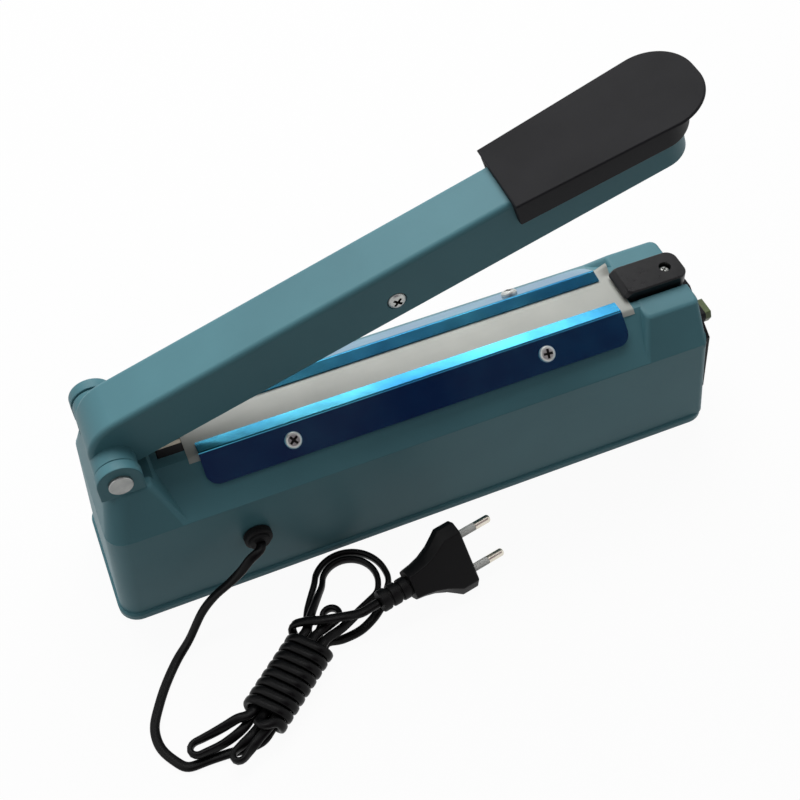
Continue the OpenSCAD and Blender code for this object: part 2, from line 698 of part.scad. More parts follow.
module switch_bracket() color(zinc) difference() {
  block([stem_x - bracket_hl, -switch_w / 2 - plate_t, switch_z - plate_t],
    [stem_x + bracket_hl, switch_w / 2 + plate_t, pocket_z - wall]);
  block([stem_x - bracket_hl - 1, -switch_w / 2, switch_z],
    [stem_x + bracket_hl + 1, switch_w / 2, pocket_z]);
}

lamp_z = z_panel + 8;
lamp_r = 3;
panel_step = 1.5;
panel_taper = 3;
panel_bend_hw = 11;
panel_top_hw = 4;
module panel_outline(d) polygon([[-panel_hw + d, z_panel + d], [panel_hw - d, z_panel + d],
  [panel_hw - panel_taper - d, z_crease - 5], [panel_bend_hw - d / 2, z_shoulder - 10 - d],
  [panel_top_hw, z_shoulder - 5.5 - d], [-panel_top_hw, z_shoulder - 5.5 - d],
  [-panel_bend_hw + d / 2, z_shoulder - 10 - d], [-panel_hw + panel_taper + d, z_crease - 5]]);

module control_panel() color(black) difference() {
  union() {
    along_x(x_end, x_r - panel_step) panel_outline(0);
    along_x(x_r - panel_step, x_r) panel_outline(panel_step);
  }
  rod_x(x_end - 1, x_r + 1, 0, z_knob, bush_r + 0.1);
  rod_x(x_end - 1, x_r + 1, 0, lamp_z, lamp_r + seat_gap);
  for (p = panel_screw_sites) {
    rod_x(x_end - 1, x_r + 1, p[0], p[1], panel_screw_d / 2 + 0.2);
    rod_x(x_r - panel_step, x_r + 1, p[0], p[1], panel_screw_d + 0.2);
  }
}

module panel_screws() color(zinc) for (p = panel_screw_sites)
  translate([x_r - panel_step, p[0], p[1]]) rotate([0, 90, 0])
    pan_screw(panel_screw_d, 2 * panel_screw_d, 1.4, panel_t + 3);

module indicator_lens() color("#c03a2a") {
  rod_x(x_end - 4, x_r, 0, lamp_z, lamp_r);
  rod_x(x_r, x_r + 1, 0, lamp_z, lamp_r + 0.8);
}

module potentiometer() color(zinc) difference() {
  union() {
    rod_x(x_end - pot_l, x_end, 0, z_knob, pot_r);
    rod_x(x_end, x_r + nut_t + 0.5, 0, z_knob, bush_r);
  }
  rod_x(x_end - 4, x_r + 10, 0, z_knob, shaft_r + fit_gap);
}

module pot_nut() color(zinc) difference() {
  translate([x_r, 0, z_knob]) rotate([0, 90, 0]) cylinder(h = nut_t, r = nut_r, $fn = 6);
  rod_x(x_r - 1, x_r + nut_t + 1, 0, z_knob, bush_r + seat_gap);
}

x_knob = x_r + knob_out - knob_cap_l;
module pot_shaft() color(zinc) rod_x(x_end - 3.5, x_knob - 2, 0, z_knob, shaft_r);

knob_flutes = 12;
knob_gap = 0.6;
module timer_knob() color(black) difference() {
  rod_x(x_r + knob_gap, x_knob, 0, z_knob, knob_r);
  rod_x(x_r - 1, x_knob - 1.5, 0, z_knob, shaft_r + seat_gap);
  rod_x(x_r - 1, x_r + nut_t + 1.2, 0, z_knob, nut_r + 0.6);
  for (k = [0 : knob_flutes - 1]) let (a = 360 * (k + 0.5) / knob_flutes)
    rod_x(x_r + 5, x_knob - 2, (knob_r + 0.4) * cos(a), z_knob + (knob_r + 0.4) * sin(a), 0.9);
}

module knob_cap() color("#6f8040") translate([x_knob, 0, z_knob]) rotate([0, 90, 0])
  cylinder(h = knob_cap_l, r = knob_r, $fn = 8);

// Transformer on the floor of the base plate
core_off = 20;
core_x = cx + core_off;
core_l = 57;
core_h = 46;
core_t = 30;
limb = 19;
window = limb / 2;
coil_build = 8.5;
coil_l = limb + 2 * window - 1;
coil_h = core_h - limb - side_gap;
strap_t = 1.5;
strap_hw = 8;
module transformer_core() color("#77797a") difference() {
  block([core_x - core_l / 2, -core_t / 2, z_floor], [core_x + core_l / 2, core_t / 2, z_floor + core_h]);
  for (s = [-1, 1]) translate([core_x + s * (limb + window) / 2, 0, z_floor + core_h / 2])
    cube([window, core_t + 2, core_h - limb], center = true);
}

module transformer_coil() color("#b5793a") translate([core_x, 0, z_floor + core_h / 2]) difference() {
  cube([coil_l, core_t + 2 * coil_build, coil_h], center = true);
  cube([limb + side_gap / 2, core_t + side_gap / 2, coil_h + 2], center = true);
}

strap_foot = 9;
strap_sites = [for (s = [-1, 1]) core_x + s * (core_l / 2 + strap_t + strap_foot / 2)];
strap_screw_d = 3;
strap_screw_head = 6;
strap_screw_head_h = 1.8;
module transformer_strap() color(zinc) difference() {
  union() {
    difference() {
      block([core_x - core_l / 2 - strap_t, -strap_hw, z_floor],
        [core_x + core_l / 2 + strap_t, strap_hw, z_floor + core_h + strap_t]);
      block([core_x - core_l / 2, -strap_hw - 1, z_floor - 1],
        [core_x + core_l / 2, strap_hw + 1, z_floor + core_h]);
    }
    for (x = strap_sites)
      block([x - strap_foot / 2, -strap_hw, z_floor], [x + strap_foot / 2, strap_hw, z_floor + strap_t]);
  }
  for (x = strap_sites) rod_z(x, 0, z_floor - 1, z_floor + strap_t + 1,
    strap_screw_d / 2 + side_gap / 2);
}

module strap_screws() color(zinc) for (x = strap_sites)
  translate([x, 0, z_floor + strap_t]) pan_screw(strap_screw_d, strap_screw_head,
    strap_screw_head_h, strap_t);

// Timer board on posts near the front end
board_off = 95;
board_x = cx + board_off;
board_l = 46;
board_w = 40;
board_t = 1.6;
post_h = 8;
post_r = 3;
post_in = 4;
z_board = z_floor + post_h;
z_parts = z_board + board_t;
post_sites = [for (x = [-1, 1], y = [-1, 1])
  [board_x + x * (board_l / 2 - post_in), y * (board_w / 2 - post_in)]];
relay_l = 19;
relay_w = 15.5;
relay_h = 15;
relay_x = board_x - relay_l / 4;
capacitor_r = 5;
capacitor_h = 16;
capacitor_x = board_x + board_l / 2 - capacitor_r - post_in;
module timer_board() color("#3f7a45")
  block([board_x - board_l / 2, -board_w / 2, z_board], [board_x + board_l / 2, board_w / 2, z_parts]);
module board_posts() color("#d8d8d0") for (p = post_sites) rod_z(p[0], p[1], z_floor, z_board, post_r);
module relay() color("#33507a")
  block([relay_x - relay_l / 2, -relay_w / 2, z_parts],
    [relay_x + relay_l / 2, relay_w / 2, z_parts + relay_h]);
module capacitor() color("#3a3a44") rod_z(capacitor_x, 0, z_parts, z_parts + capacitor_h, capacitor_r);

// Terminal block of the mains lead, with two wire screws
terminal_off = -55;
terminal_x = cx + terminal_off;
terminal_l = 22;
terminal_w = 20;
terminal_h = 14;
terminal_pitch = 12;
module mains_block() color("#e0ddd0") difference() {
  block([terminal_x - terminal_l / 2, -terminal_w / 2, z_floor],
    [terminal_x + terminal_l / 2, terminal_w / 2, z_floor + terminal_h]);
  for (s = [-1, 1]) rod_z(terminal_x + s * terminal_pitch / 2, 0, z_floor + terminal_h / 2,
    z_floor + terminal_h + 1, 2);
}

// Cord exit in the near wall
grommet_x = cx - 85.3;
grommet_z = z_body + 32.5;
grommet_neck_r = 4.4;
grommet_r = 6.8;
exit_y = -base_w / 2 - 5.5;
module cord_grommet() color(black) {
  rod_y(grommet_x, exit_y, -base_w / 2 - 0.1, grommet_z, grommet_r);
  rod_y(grommet_x, -base_w / 2 - 0.2, -base_w / 2 + wall + 0.8, grommet_z, grommet_neck_r);
  rod_y(grommet_x, -base_w / 2 + wall + 0.7, -base_w / 2 + wall + 2.5, grommet_z, grommet_r - 0.2);
}

// Plug on the table, leaning on one slanted side as its stiff lead holds it
plug_at = [5.07, -69.3];
plug_turn = 11.5;
plug_lift = 1;
plug_roll = 50;
plug_l = 32;
plug_facet = 4.6;
plug_z = 0.1 + max(plug_w / 2 * sin(plug_roll) + (plug_t / 2 - plug_facet) * cos(plug_roll),
  (plug_w / 2 - plug_facet) * sin(plug_roll) + plug_t / 2 * cos(plug_roll));
relief_l = 16;
relief_r = 5.4;
relief_pitch = 5.5;
relief_rib = 4.4;
sleeve_l = 10;
module on_plug() translate([cx + plug_at[0], plug_at[1], plug_z])
  rotate([plug_roll, plug_lift, plug_turn]) children();
function plug_axis(s) = [cx + plug_at[0], plug_at[1], plug_z]
  + s * [cos(plug_lift) * cos(plug_turn), cos(plug_lift) * sin(plug_turn), -sin(plug_lift)];

plug_flat = plug_w / 2 - plug_facet - 1;
plug_edge = plug_t / 2 - plug_facet - 1;
module plug_body() color(black) on_plug() difference() {
  union() {
    intersection() {
      along_z(-plug_t, plug_t) polygon([[0, -plug_w / 2], [0, plug_w / 2], [-9, plug_w / 2], [-22, 9.5],
        [-plug_l, 7.5], [-plug_l, -7.5], [-22, -9.5], [-9, -plug_w / 2]]);
      along_y(-plug_w, plug_w) polygon([[0, -plug_t / 2], [0, plug_t / 2], [-14, plug_t / 2], [-plug_l, 6],
        [-plug_l, -6], [-14, -plug_t / 2]]);
      along_x(-plug_l - 1, 1) polygon([[-plug_w / 2 - 1, -plug_edge], [-plug_flat, -plug_t / 2 - 1],
        [plug_flat, -plug_t / 2 - 1], [plug_w / 2 + 1, -plug_edge], [plug_w / 2 + 1, plug_edge],
        [plug_flat, plug_t / 2 + 1], [-plug_flat, plug_t / 2 + 1], [-plug_w / 2 - 1, plug_edge]]);
    }
    for (k = [0 : 2]) let (s = -plug_l - relief_l + k * relief_pitch)
      rod_x(s, s + relief_rib, 0, 0, relief_r);
    rod_x(-plug_l - relief_l + 0.1, -plug_l + 1, 0, 0, relief_r - 0.9);
  }
  for (s = [-1, 1]) rod_x(-8, 1, s * plug_pitch / 2, 0, plug_pin_d / 2 - 0.4 + seat_gap);
}

module plug_pins() color("#c9c2b0") on_plug() for (s = [-1, 1]) {
  rod_x(-7.5, sleeve_l, s * plug_pitch / 2, 0, plug_pin_d / 2 - 0.4);
  rod_x(sleeve_l, plug_pin_l - 1, s * plug_pitch / 2, 0, plug_pin_d / 2);
  translate([plug_pin_l - 1, s * plug_pitch / 2, 0]) rotate([0, 90, 0])
    cylinder(h = 1, r1 = plug_pin_d / 2, r2 = plug_pin_d / 2 - 0.8);
}

module pin_sleeves() color("#b9b9b4") on_plug() for (s = [-1, 1]) difference() {
  rod_x(0, sleeve_l, s * plug_pitch / 2, 0, plug_pin_d / 2);
  rod_x(-1, sleeve_l + 1, s * plug_pitch / 2, 0, plug_pin_d / 2 - 0.4 + seat_gap);
}

// Route of the cord: places from the middle of the base, then the direction of its width
lay_z = cord_t / 2 + 0.2;
flat_y = [0, 1, 0];
up = [0, 0, 1];
function from_base(p, w) = concat([cx + p[0], p[1], p[2]], w);
run_in = [-139, -115.5];
run_points = concat(
  [for (d = [0, 1.5]) concat([grommet_x, exit_y - d, grommet_z], [1, 0, 0])],
  [from_base([-87.3, -45.2, 39.9], [0.8, -0.5, 0]), from_base([-92.3, -47, 38.6], [0.5, -0.75, -0.4]),
   from_base([-98, -48.6, 34.1], [0.5, -0.8, 0]), from_base([-104.6, -49.6, 29.6], [0.5, -0.75, 0.4]),
   from_base([-112.8, -50, 23.7], [0.5, -0.7, 0.5]), from_base([-120.6, -51.4, 16], [0.5, -0.8, 0.4]),
   from_base([-130, -57, 6.4], [0.4, -0.9, 0.3]),
   from_base([-138, -62.6, 2.6], [0.7, -0.7, 0.1]), from_base([-145.4, -71, lay_z], [0.8, -0.6, 0]),
   from_base([-152, -81, lay_z], [0.9, -0.4, 0]), from_base([-157, -91.4, lay_z], [1, 0, 0]),
   from_base([-157, -101.4, lay_z], [1, 0.2, 0]), from_base([-153, -109.6, lay_z], [0.7, 0.7, 0])],
  [for (d = [9, 4.5, 0]) from_base([run_in[0] - d, run_in[1] + 0.05 * d, lay_z], flat_y)]);
ring_step = 9;
module cord_run() color(black) swept(smooth_path(run_points, ring_step), cord_w, cord_t, 8);

// Hank: an axis on the table, three columns of strands in two layers, and turns wound round them
hank_at = [-110.5, -109];
hank_deg = 39;
strand_gap = 0.5;
loop_rings = 24;
wrap_end_r = cord_t * 1.5 + strand_gap * 2 + 0.75;
wrap_flat = cord_w - 0.35;
wrap_mid = wrap_end_r + cord_t / 2 + 0.1;
wrap_pitch = cord_w + strand_gap - 0.05;
hank_u = [cos(hank_deg), sin(hank_deg), 0];
hank_v = [-sin(hank_deg), cos(hank_deg), 0];
function on_hank(u, v, z) = [cx + hank_at[0], hank_at[1], z] + u * hank_u + v * hank_v;
function strand(u, column, layer) = concat(on_hank(u, column * (cord_w + strand_gap + 0.45),
  wrap_mid + layer * (cord_t + strand_gap + 0.1) / 2), hank_v);
hank_top = wrap_pitch * wraps + 2;
top_out = hank_top + 5;
function core_up(column, layer) = [for (u = [0, hank_top / 2, hank_top, top_out])
  strand(u, column, layer)];
function core_down(column, layer) = [for (u = [top_out, hank_top, hank_top / 2, 0])
  strand(u, column, layer)];

// Arc of a loop or fold on the table: middle, radius, height and angles, with the cord on edge
function loop_arc(mid, r, z0, z1, a0, a1, n) = [for (k = [0 : n])
  from_base([mid[0] + r * cos(a0 + (a1 - a0) * k / n), mid[1] + r * sin(a0 + (a1 - a0) * k / n),
    z0 + (z1 - z0) * k / n], up)];

// One turn of the wrapping at angle a, which climbs along the hank
wrap_a0 = 130;
wrap_a1 = wrap_a0 + 360 * wraps + 210;
function wrap_point(a) = let (c = cos(a), flat = wrap_flat * sign(c) * min(1, abs(c) / 0.35))
  concat(on_hank(wrap_pitch * (a - wrap_a0) / 360, wrap_end_r * c + flat, wrap_mid + wrap_end_r * sin(a)),
    -hank_u);
wrap_steps = round((wrap_a1 - wrap_a0) / 360 * loop_rings);

lead_in = [-65.5, -77.2, 14.2];
lead_dir = unit([1, -0.25, 0.05]);
on_edge_z = cord_w / 2 + 0.2;
hank_points = concat(
  [for (d = [0, 4.5, 9]) from_base([run_in[0] + d, run_in[1] - 0.05 * d, lay_z], flat_y)],
  [from_base([-121, -117, 2], flat_y), from_base([-113.4, -116.8, 3.4], [-0.3, 0.9, 0])],
  core_up(-1, -1),
  [from_base([-64, -83.6, 3.4], hank_v), from_base([-54, -81.8, lay_z], [-0.3, 0.9, 0]),
   from_base([-46, -78.2, lay_z], [-0.5, 0.8, 0]), from_base([-40, -73.6, lay_z], [-0.6, 0.75, 0]),
   from_base([-35.4, -69.2, lay_z], [-0.74, 0.67, 0])],
  loop_arc([-49, -57.5], 18, on_edge_z, on_edge_z + 2, -14, 160, 11),
  [from_base([-74, -63.6, 4], [0.2, 0.3, 0.8])],
  core_down(1, -1),
  [from_base([-121, -109.5, 5.8], [-0.4, 0.7, 0.2]), from_base([-131, -112.8, 6], [0, 0.4, 0.9])],
  loop_arc([-142, -110.4], 3.1, 6, 6.4, 270, 90, 6),
  [from_base([-131, -106.6, 8], [0, 0.5, 0.8]), from_base([-121, -105.4, 9.6], [-0.3, 0.8, 0.2])],
  core_up(1, 1),
  [from_base([-71.6, -66, 7.8], [-0.4, 0.3, 0.8])],
  loop_arc([-49.5, -57], 13.6, on_edge_z + 2, on_edge_z + 0.5, 165, -48, 12),
  [from_base([-52, -74, 4.6], [-0.3, 0.6, 0.7]), from_base([-62, -80.2, 7.6], [-0.3, 0.6, 0.6])],
  core_down(-1, 1),
  [from_base([-115.5, -117.8, 8.2], [-0.4, 0.8, 0.2])],
  loop_arc([-125.5, -121], 2.9, 7.4, 6.6, 300, 120, 6),
  [from_base([-118.5, -114.4, 6.4], [-0.4, 0.8, 0.2])],
  core_up(0, -1),
  loop_arc([-64.6, -72.3], 4.2, 6.6, 9.2, 180, -62, 8),
  core_down(0, 1),
  [concat(on_hank(-3.8, -0.8, wrap_mid + 4.6), hank_v - 0.4 * hank_u),
   concat(on_hank(-4, -4.4, wrap_mid + wrap_end_r - 0.4), -hank_u)],
  [for (k = [0 : wrap_steps]) wrap_point(wrap_a0 + (wrap_a1 - wrap_a0) * k / wrap_steps)],
  [concat(on_hank(wrap_pitch * wraps + 5.2, 12, wrap_mid + 2.5), -hank_u),
   concat(on_hank(wrap_pitch * wraps + 9, 7, wrap_mid + 5), -hank_u)],
  [for (d = [5, 2.5, 0]) from_base(lead_in - d * lead_dir, -flat_y)]);
hank_step = 3;
module cord_hank() color(black) {
  path = smooth_path(hank_points, hank_step);
  echo(hank_rings = len(path), hank_gap = least_gap(path, cord_w, cord_t, 7));
  swept(path, cord_w, cord_t, 6);
}

lead_points = concat(
  [for (d = [0, 4.5, 9]) from_base(lead_in + d * lead_dir, -flat_y)],
  [for (s = [-10, -5, 0]) concat(plug_axis(-plug_l - relief_l + s), -flat_y)]);
module plug_lead() color(black) swept(smooth_path(lead_points, 6), cord_w, cord_t, 8);

body_shell();
base_plate();
base_screws();
rubber_feet();
hinge_pin();
hinge_clip();
return_spring();
press_arm();
arm_grip();
arm_screws();
strip_holder();
silicone_strip();
seal_bar();
insulation_tape();
heating_element();
ptfe_cloth();
front_clamp_strip();
rear_clamp_strip();
strip_screws();
rear_block();
front_block();
rear_terminal();
front_terminal();
switch_cap();
cap_screw();
cap_spring();
micro_switch();
switch_plunger();
switch_bracket();
control_panel();
panel_screws();
indicator_lens();
potentiometer();
pot_nut();
pot_shaft();
timer_knob();
knob_cap();
transformer_core();
transformer_coil();
transformer_strap();
strap_screws();
timer_board();
board_posts();
relay();
capacitor();
mains_block();
cord_grommet();
cord_run();
cord_hank();
plug_lead();
plug_body();
plug_pins();
pin_sleeves();
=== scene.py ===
import json
import math

import bmesh
import bpy
from mathutils import Matrix, Vector


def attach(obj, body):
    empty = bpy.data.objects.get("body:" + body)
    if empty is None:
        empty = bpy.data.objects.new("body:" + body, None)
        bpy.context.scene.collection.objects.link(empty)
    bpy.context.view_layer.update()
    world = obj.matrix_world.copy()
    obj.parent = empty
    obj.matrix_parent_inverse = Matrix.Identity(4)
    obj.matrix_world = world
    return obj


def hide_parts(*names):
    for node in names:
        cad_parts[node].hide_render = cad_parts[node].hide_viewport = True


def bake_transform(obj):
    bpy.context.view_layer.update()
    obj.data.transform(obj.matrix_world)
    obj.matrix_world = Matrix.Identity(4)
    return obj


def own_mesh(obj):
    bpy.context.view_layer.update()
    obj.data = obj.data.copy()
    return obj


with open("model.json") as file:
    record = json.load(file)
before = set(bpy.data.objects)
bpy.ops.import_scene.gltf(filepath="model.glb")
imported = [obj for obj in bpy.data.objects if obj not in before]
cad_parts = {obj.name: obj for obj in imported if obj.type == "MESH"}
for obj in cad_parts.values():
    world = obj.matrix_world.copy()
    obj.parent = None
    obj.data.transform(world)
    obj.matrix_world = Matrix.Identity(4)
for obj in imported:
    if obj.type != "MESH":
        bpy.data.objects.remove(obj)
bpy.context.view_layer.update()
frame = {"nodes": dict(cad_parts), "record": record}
cad = frame["nodes"]

# Sizes below are in millimetres, as in the part's source, and become metres as each piece is made
MM = 0.001
# Middle of the base, place of the hinge pin and the angle at which the arm stands open
MID = -8.0
PIN = (-144.3, 0.0, 98.1)
OPEN = math.radians(17.3)
ARM = Matrix.Translation(Vector(PIN) * MM) @ Matrix.Rotation(-OPEN, 4, "Y")
UP = (0, 0, 1)

# Body: heights of its foot, crease, shoulder and hinge pedestal, half its width at the crease, and its ends
FOOT_Z, CREASE_Z, SHOULDER_Z, PEDESTAL_Z = 7.5, 66.0, 83.5, 90.2
WALL_H, WALL_LEAN, HALF_W = CREASE_Z - FOOT_Z, 1.2, 36.0
ROOF_SLOPE = (17.2, 21.6)
ROOF = math.atan2(*ROOF_SLOPE)
REAR_X, REAR_LEAN, SHOULDER_X = -163.3, 4.7, 141.95
END_FOOT, END_LEAN = Vector((149.3, 0, FOOT_Z)), Vector((WALL_H, 0, 7.3))
EAR_R, EAR_IN, EAR_OUT, BARREL_R = 10.3, 21.5, 27.0, 9.8

# Control panel, its lamp and knob: the face leans from its foot to the top of the sides
PANEL_TOP, PANEL_LEAN = Vector((146.7, 0, 62)), Vector((41.0, 0, 2.9))
PANEL_SEATS = [(y, z) for y in (-22, 22) for z in (27.5, 54)]
KNOB_R, SKIRT_R, NUT_ROOM_R, KNOB_Z, LAMP_Z = 6.2, 7.5, 6.1, 44.5, 29.5
KNOB_BACK, KNOB_FACE, KNOB_END, KNOB_FLAT = 149.1, 161.0, 164.5, KNOB_Z + 3.5

# Arm and grip, drawn along X from the hinge pin
ARM_NEAR, ARM_FAR, ARM_END, ARM_TOP, ARM_ROUND_X = -14.0, 12.4, 285.0, 20.0, 271.0
ARM_SEAT_X, ARM_SEAT_Z, ARM_SEATS = 141.0, 1.1, (-12.8, 11.9)
GRIP_X, GRIP_HALF, GRIP_NARROW = 202.0, 23.3, 19.7

# Switch cap and its screw, and the places of base screws and feet from the base's middle
SWITCH_X, CAP_SCREW_X = 124.0, 134.5
BASE_SCREW, BASE_FOOT = (116.5, 27.0), (134.5, 24.0)

# Plug: its place on the table, half its width and thickness, and the pins' pitch and radius
PLUG_HALF, PLUG_THICK, PRONG_PITCH, PRONG_R = 17.65, 6.85, 18.6, 2.0
PLUG_AT = (MID + 5.07, -69.3, 15.07)
PLUG = (Matrix.Translation(Vector(PLUG_AT) * MM) @ Matrix.Rotation(math.radians(11.5), 4, "Z")
        @ Matrix.Rotation(math.radians(1), 4, "Y") @ Matrix.Rotation(math.radians(50), 4, "X"))


# Camera, at the place and angle from which the photograph was taken
def set_camera():
    turn, height, roll = math.radians(-19.38), math.radians(51.51), math.radians(-3.34)
    data = bpy.data.cameras.new("camera")
    data.lens = 58.888
    data.sensor_width = 36.0
    data.clip_start = 0.01
    eye = bpy.data.objects.new("camera", data)
    bpy.context.scene.collection.objects.link(eye)
    eye.matrix_world = (Matrix.Translation((-0.13787, -0.37372, 0.55308)) @ Matrix.Rotation(turn, 4, "Z")
                        @ Matrix.Rotation(math.pi / 2 - height, 4, "X") @ Matrix.Rotation(roll, 4, "Z"))
    bpy.context.scene.camera = eye


set_camera()


# Sweeps: a tube follows points, each with the direction of its width
def smooth_path(points, step):
    """Points along a smooth curve through the given ones, about a step apart.
    Each point is a place and the direction of the width there."""
    rows = [tuple(Vector(v) for v in p) for p in points]
    n = len(rows)
    out = []
    for i in range(n - 1):
        b, c = rows[i], rows[i + 1]
        a = rows[i - 1] if i else tuple(2 * u - v for u, v in zip(b, c))
        d = rows[i + 2] if i < n - 2 else tuple(2 * v - u for u, v in zip(b, c))
        count = max(1, round((c[0] - b[0]).length / step))
        for k in range(count):
            t = k / count
            out.append(tuple(0.5 * (2 * q + (r - p) * t + (2 * p - 5 * q + 4 * r - s) * t * t
                                    + (3 * q - p - 3 * r + s) * t ** 3)
                             for p, q, r, s in zip(a, b, c, d)))
    out.append(rows[-1])
    return out


def sweep(name, path, section):
    """A closed tube along a path in millimetres; section is a list of (across, up) points."""
    rings = []
    for i, (place, width) in enumerate(path):
        ahead = (path[min(i + 1, len(path) - 1)][0] - path[max(i - 1, 0)][0]).normalized()
        across = (width - width.dot(ahead) * ahead).normalized()
        up = ahead.cross(across)
        rings.append([(place + x * across + y * up) * MM for x, y in section])
    count = len(section)
    corners = [v for ring in rings for v in ring]
    faces = []
    for i in range(len(rings) - 1):
        for k in range(count):
            a, b = i * count + k, i * count + (k + 1) % count
            faces.append((a, b, b + count, a + count))
    faces.append(tuple(range(count - 1, -1, -1)))
    faces.append(tuple((len(rings) - 1) * count + k for k in range(count)))
    mesh = bpy.data.meshes.new(name)
    mesh.from_pydata(corners, [], faces)
    mesh.polygons.foreach_set("use_smooth", [True] * len(mesh.polygons))
    piece = bpy.data.objects.new(name, mesh)
    bpy.context.scene.collection.objects.link(piece)
    return piece


def oval(width, thick, count, power):
    """Section of a flat cord or a wire: an ellipse, squared off as power falls below 1."""
    points = []
    for k in range(count):
        c, s = math.cos(2 * math.pi * k / count), math.sin(2 * math.pi * k / count)
        across = width / 2 * math.copysign(abs(c) ** power, c)
        up = thick / 2 * math.copysign(abs(s) ** power, s)
        points.append((across, up))
    return points


# Mains cord: from the grommet down to the table, through the hank, and on to the plug
CORD_W, CORD_T = 4.5, 3.0
GROMMET = (MID - 85.3, -41.5, 40.0)
LAY, ON_EDGE = CORD_T / 2 + 0.2, CORD_W / 2 + 0.2
FLAT_Y = (0, 1, 0)
HANK_AT, HANK_TURN = (MID - 110.5, -109.0), math.radians(39)
HANK_U = Vector((math.cos(HANK_TURN), math.sin(HANK_TURN), 0))
HANK_V = Vector((-math.sin(HANK_TURN), math.cos(HANK_TURN), 0))
WRAPS, WRAP_R, WRAP_FLAT, WRAP_PITCH = 8, 6.25, 4.15, 4.95
WRAP_MID = WRAP_R + CORD_T / 2 + 0.1
HANK_TOP = WRAP_PITCH * WRAPS + 2
RUN_IN = (-139.0, -115.5)
LEAD_IN, LEAD_DIR = Vector((-65.5, -77.2, 14.2)), Vector((1, -0.25, 0.05)).normalized()


def at(x, y, z, width):
    return (Vector((MID + x, y, z)), Vector(width))


def on_hank(u, v, z):
    return Vector((HANK_AT[0], HANK_AT[1], z)) + u * HANK_U + v * HANK_V


def strands(column, layer, way):
    stops = [0, HANK_TOP / 2, HANK_TOP, HANK_TOP + 5]
    return [(on_hank(u, column * 5.45, WRAP_MID + layer * 1.8), HANK_V) for u in stops[::way]]


def loop_arc(mid, r, z0, z1, a0, a1, n):
    out = []
    for k in range(n + 1):
        a = math.radians(a0 + (a1 - a0) * k / n)
        out.append(at(mid[0] + r * math.cos(a), mid[1] + r * math.sin(a), z0 + (z1 - z0) * k / n, UP))
    return out


def wrap_turns():
    a0 = 130
    a1 = a0 + 360 * WRAPS + 210
    steps = round((a1 - a0) / 15)
    out = []
    for k in range(steps + 1):
        a = a0 + (a1 - a0) * k / steps
        c, s = math.cos(math.radians(a)), math.sin(math.radians(a))
        side = WRAP_FLAT * math.copysign(min(1, abs(c) / 0.35), c)
        place = on_hank(WRAP_PITCH * (a - a0) / 360, WRAP_R * c + side, WRAP_MID + WRAP_R * s)
        out.append((place, -HANK_U))
    return out


def plug_axis(s):
    return Vector(PLUG_AT) + s * (PLUG.to_3x3() @ Vector((1, 0, 0)))


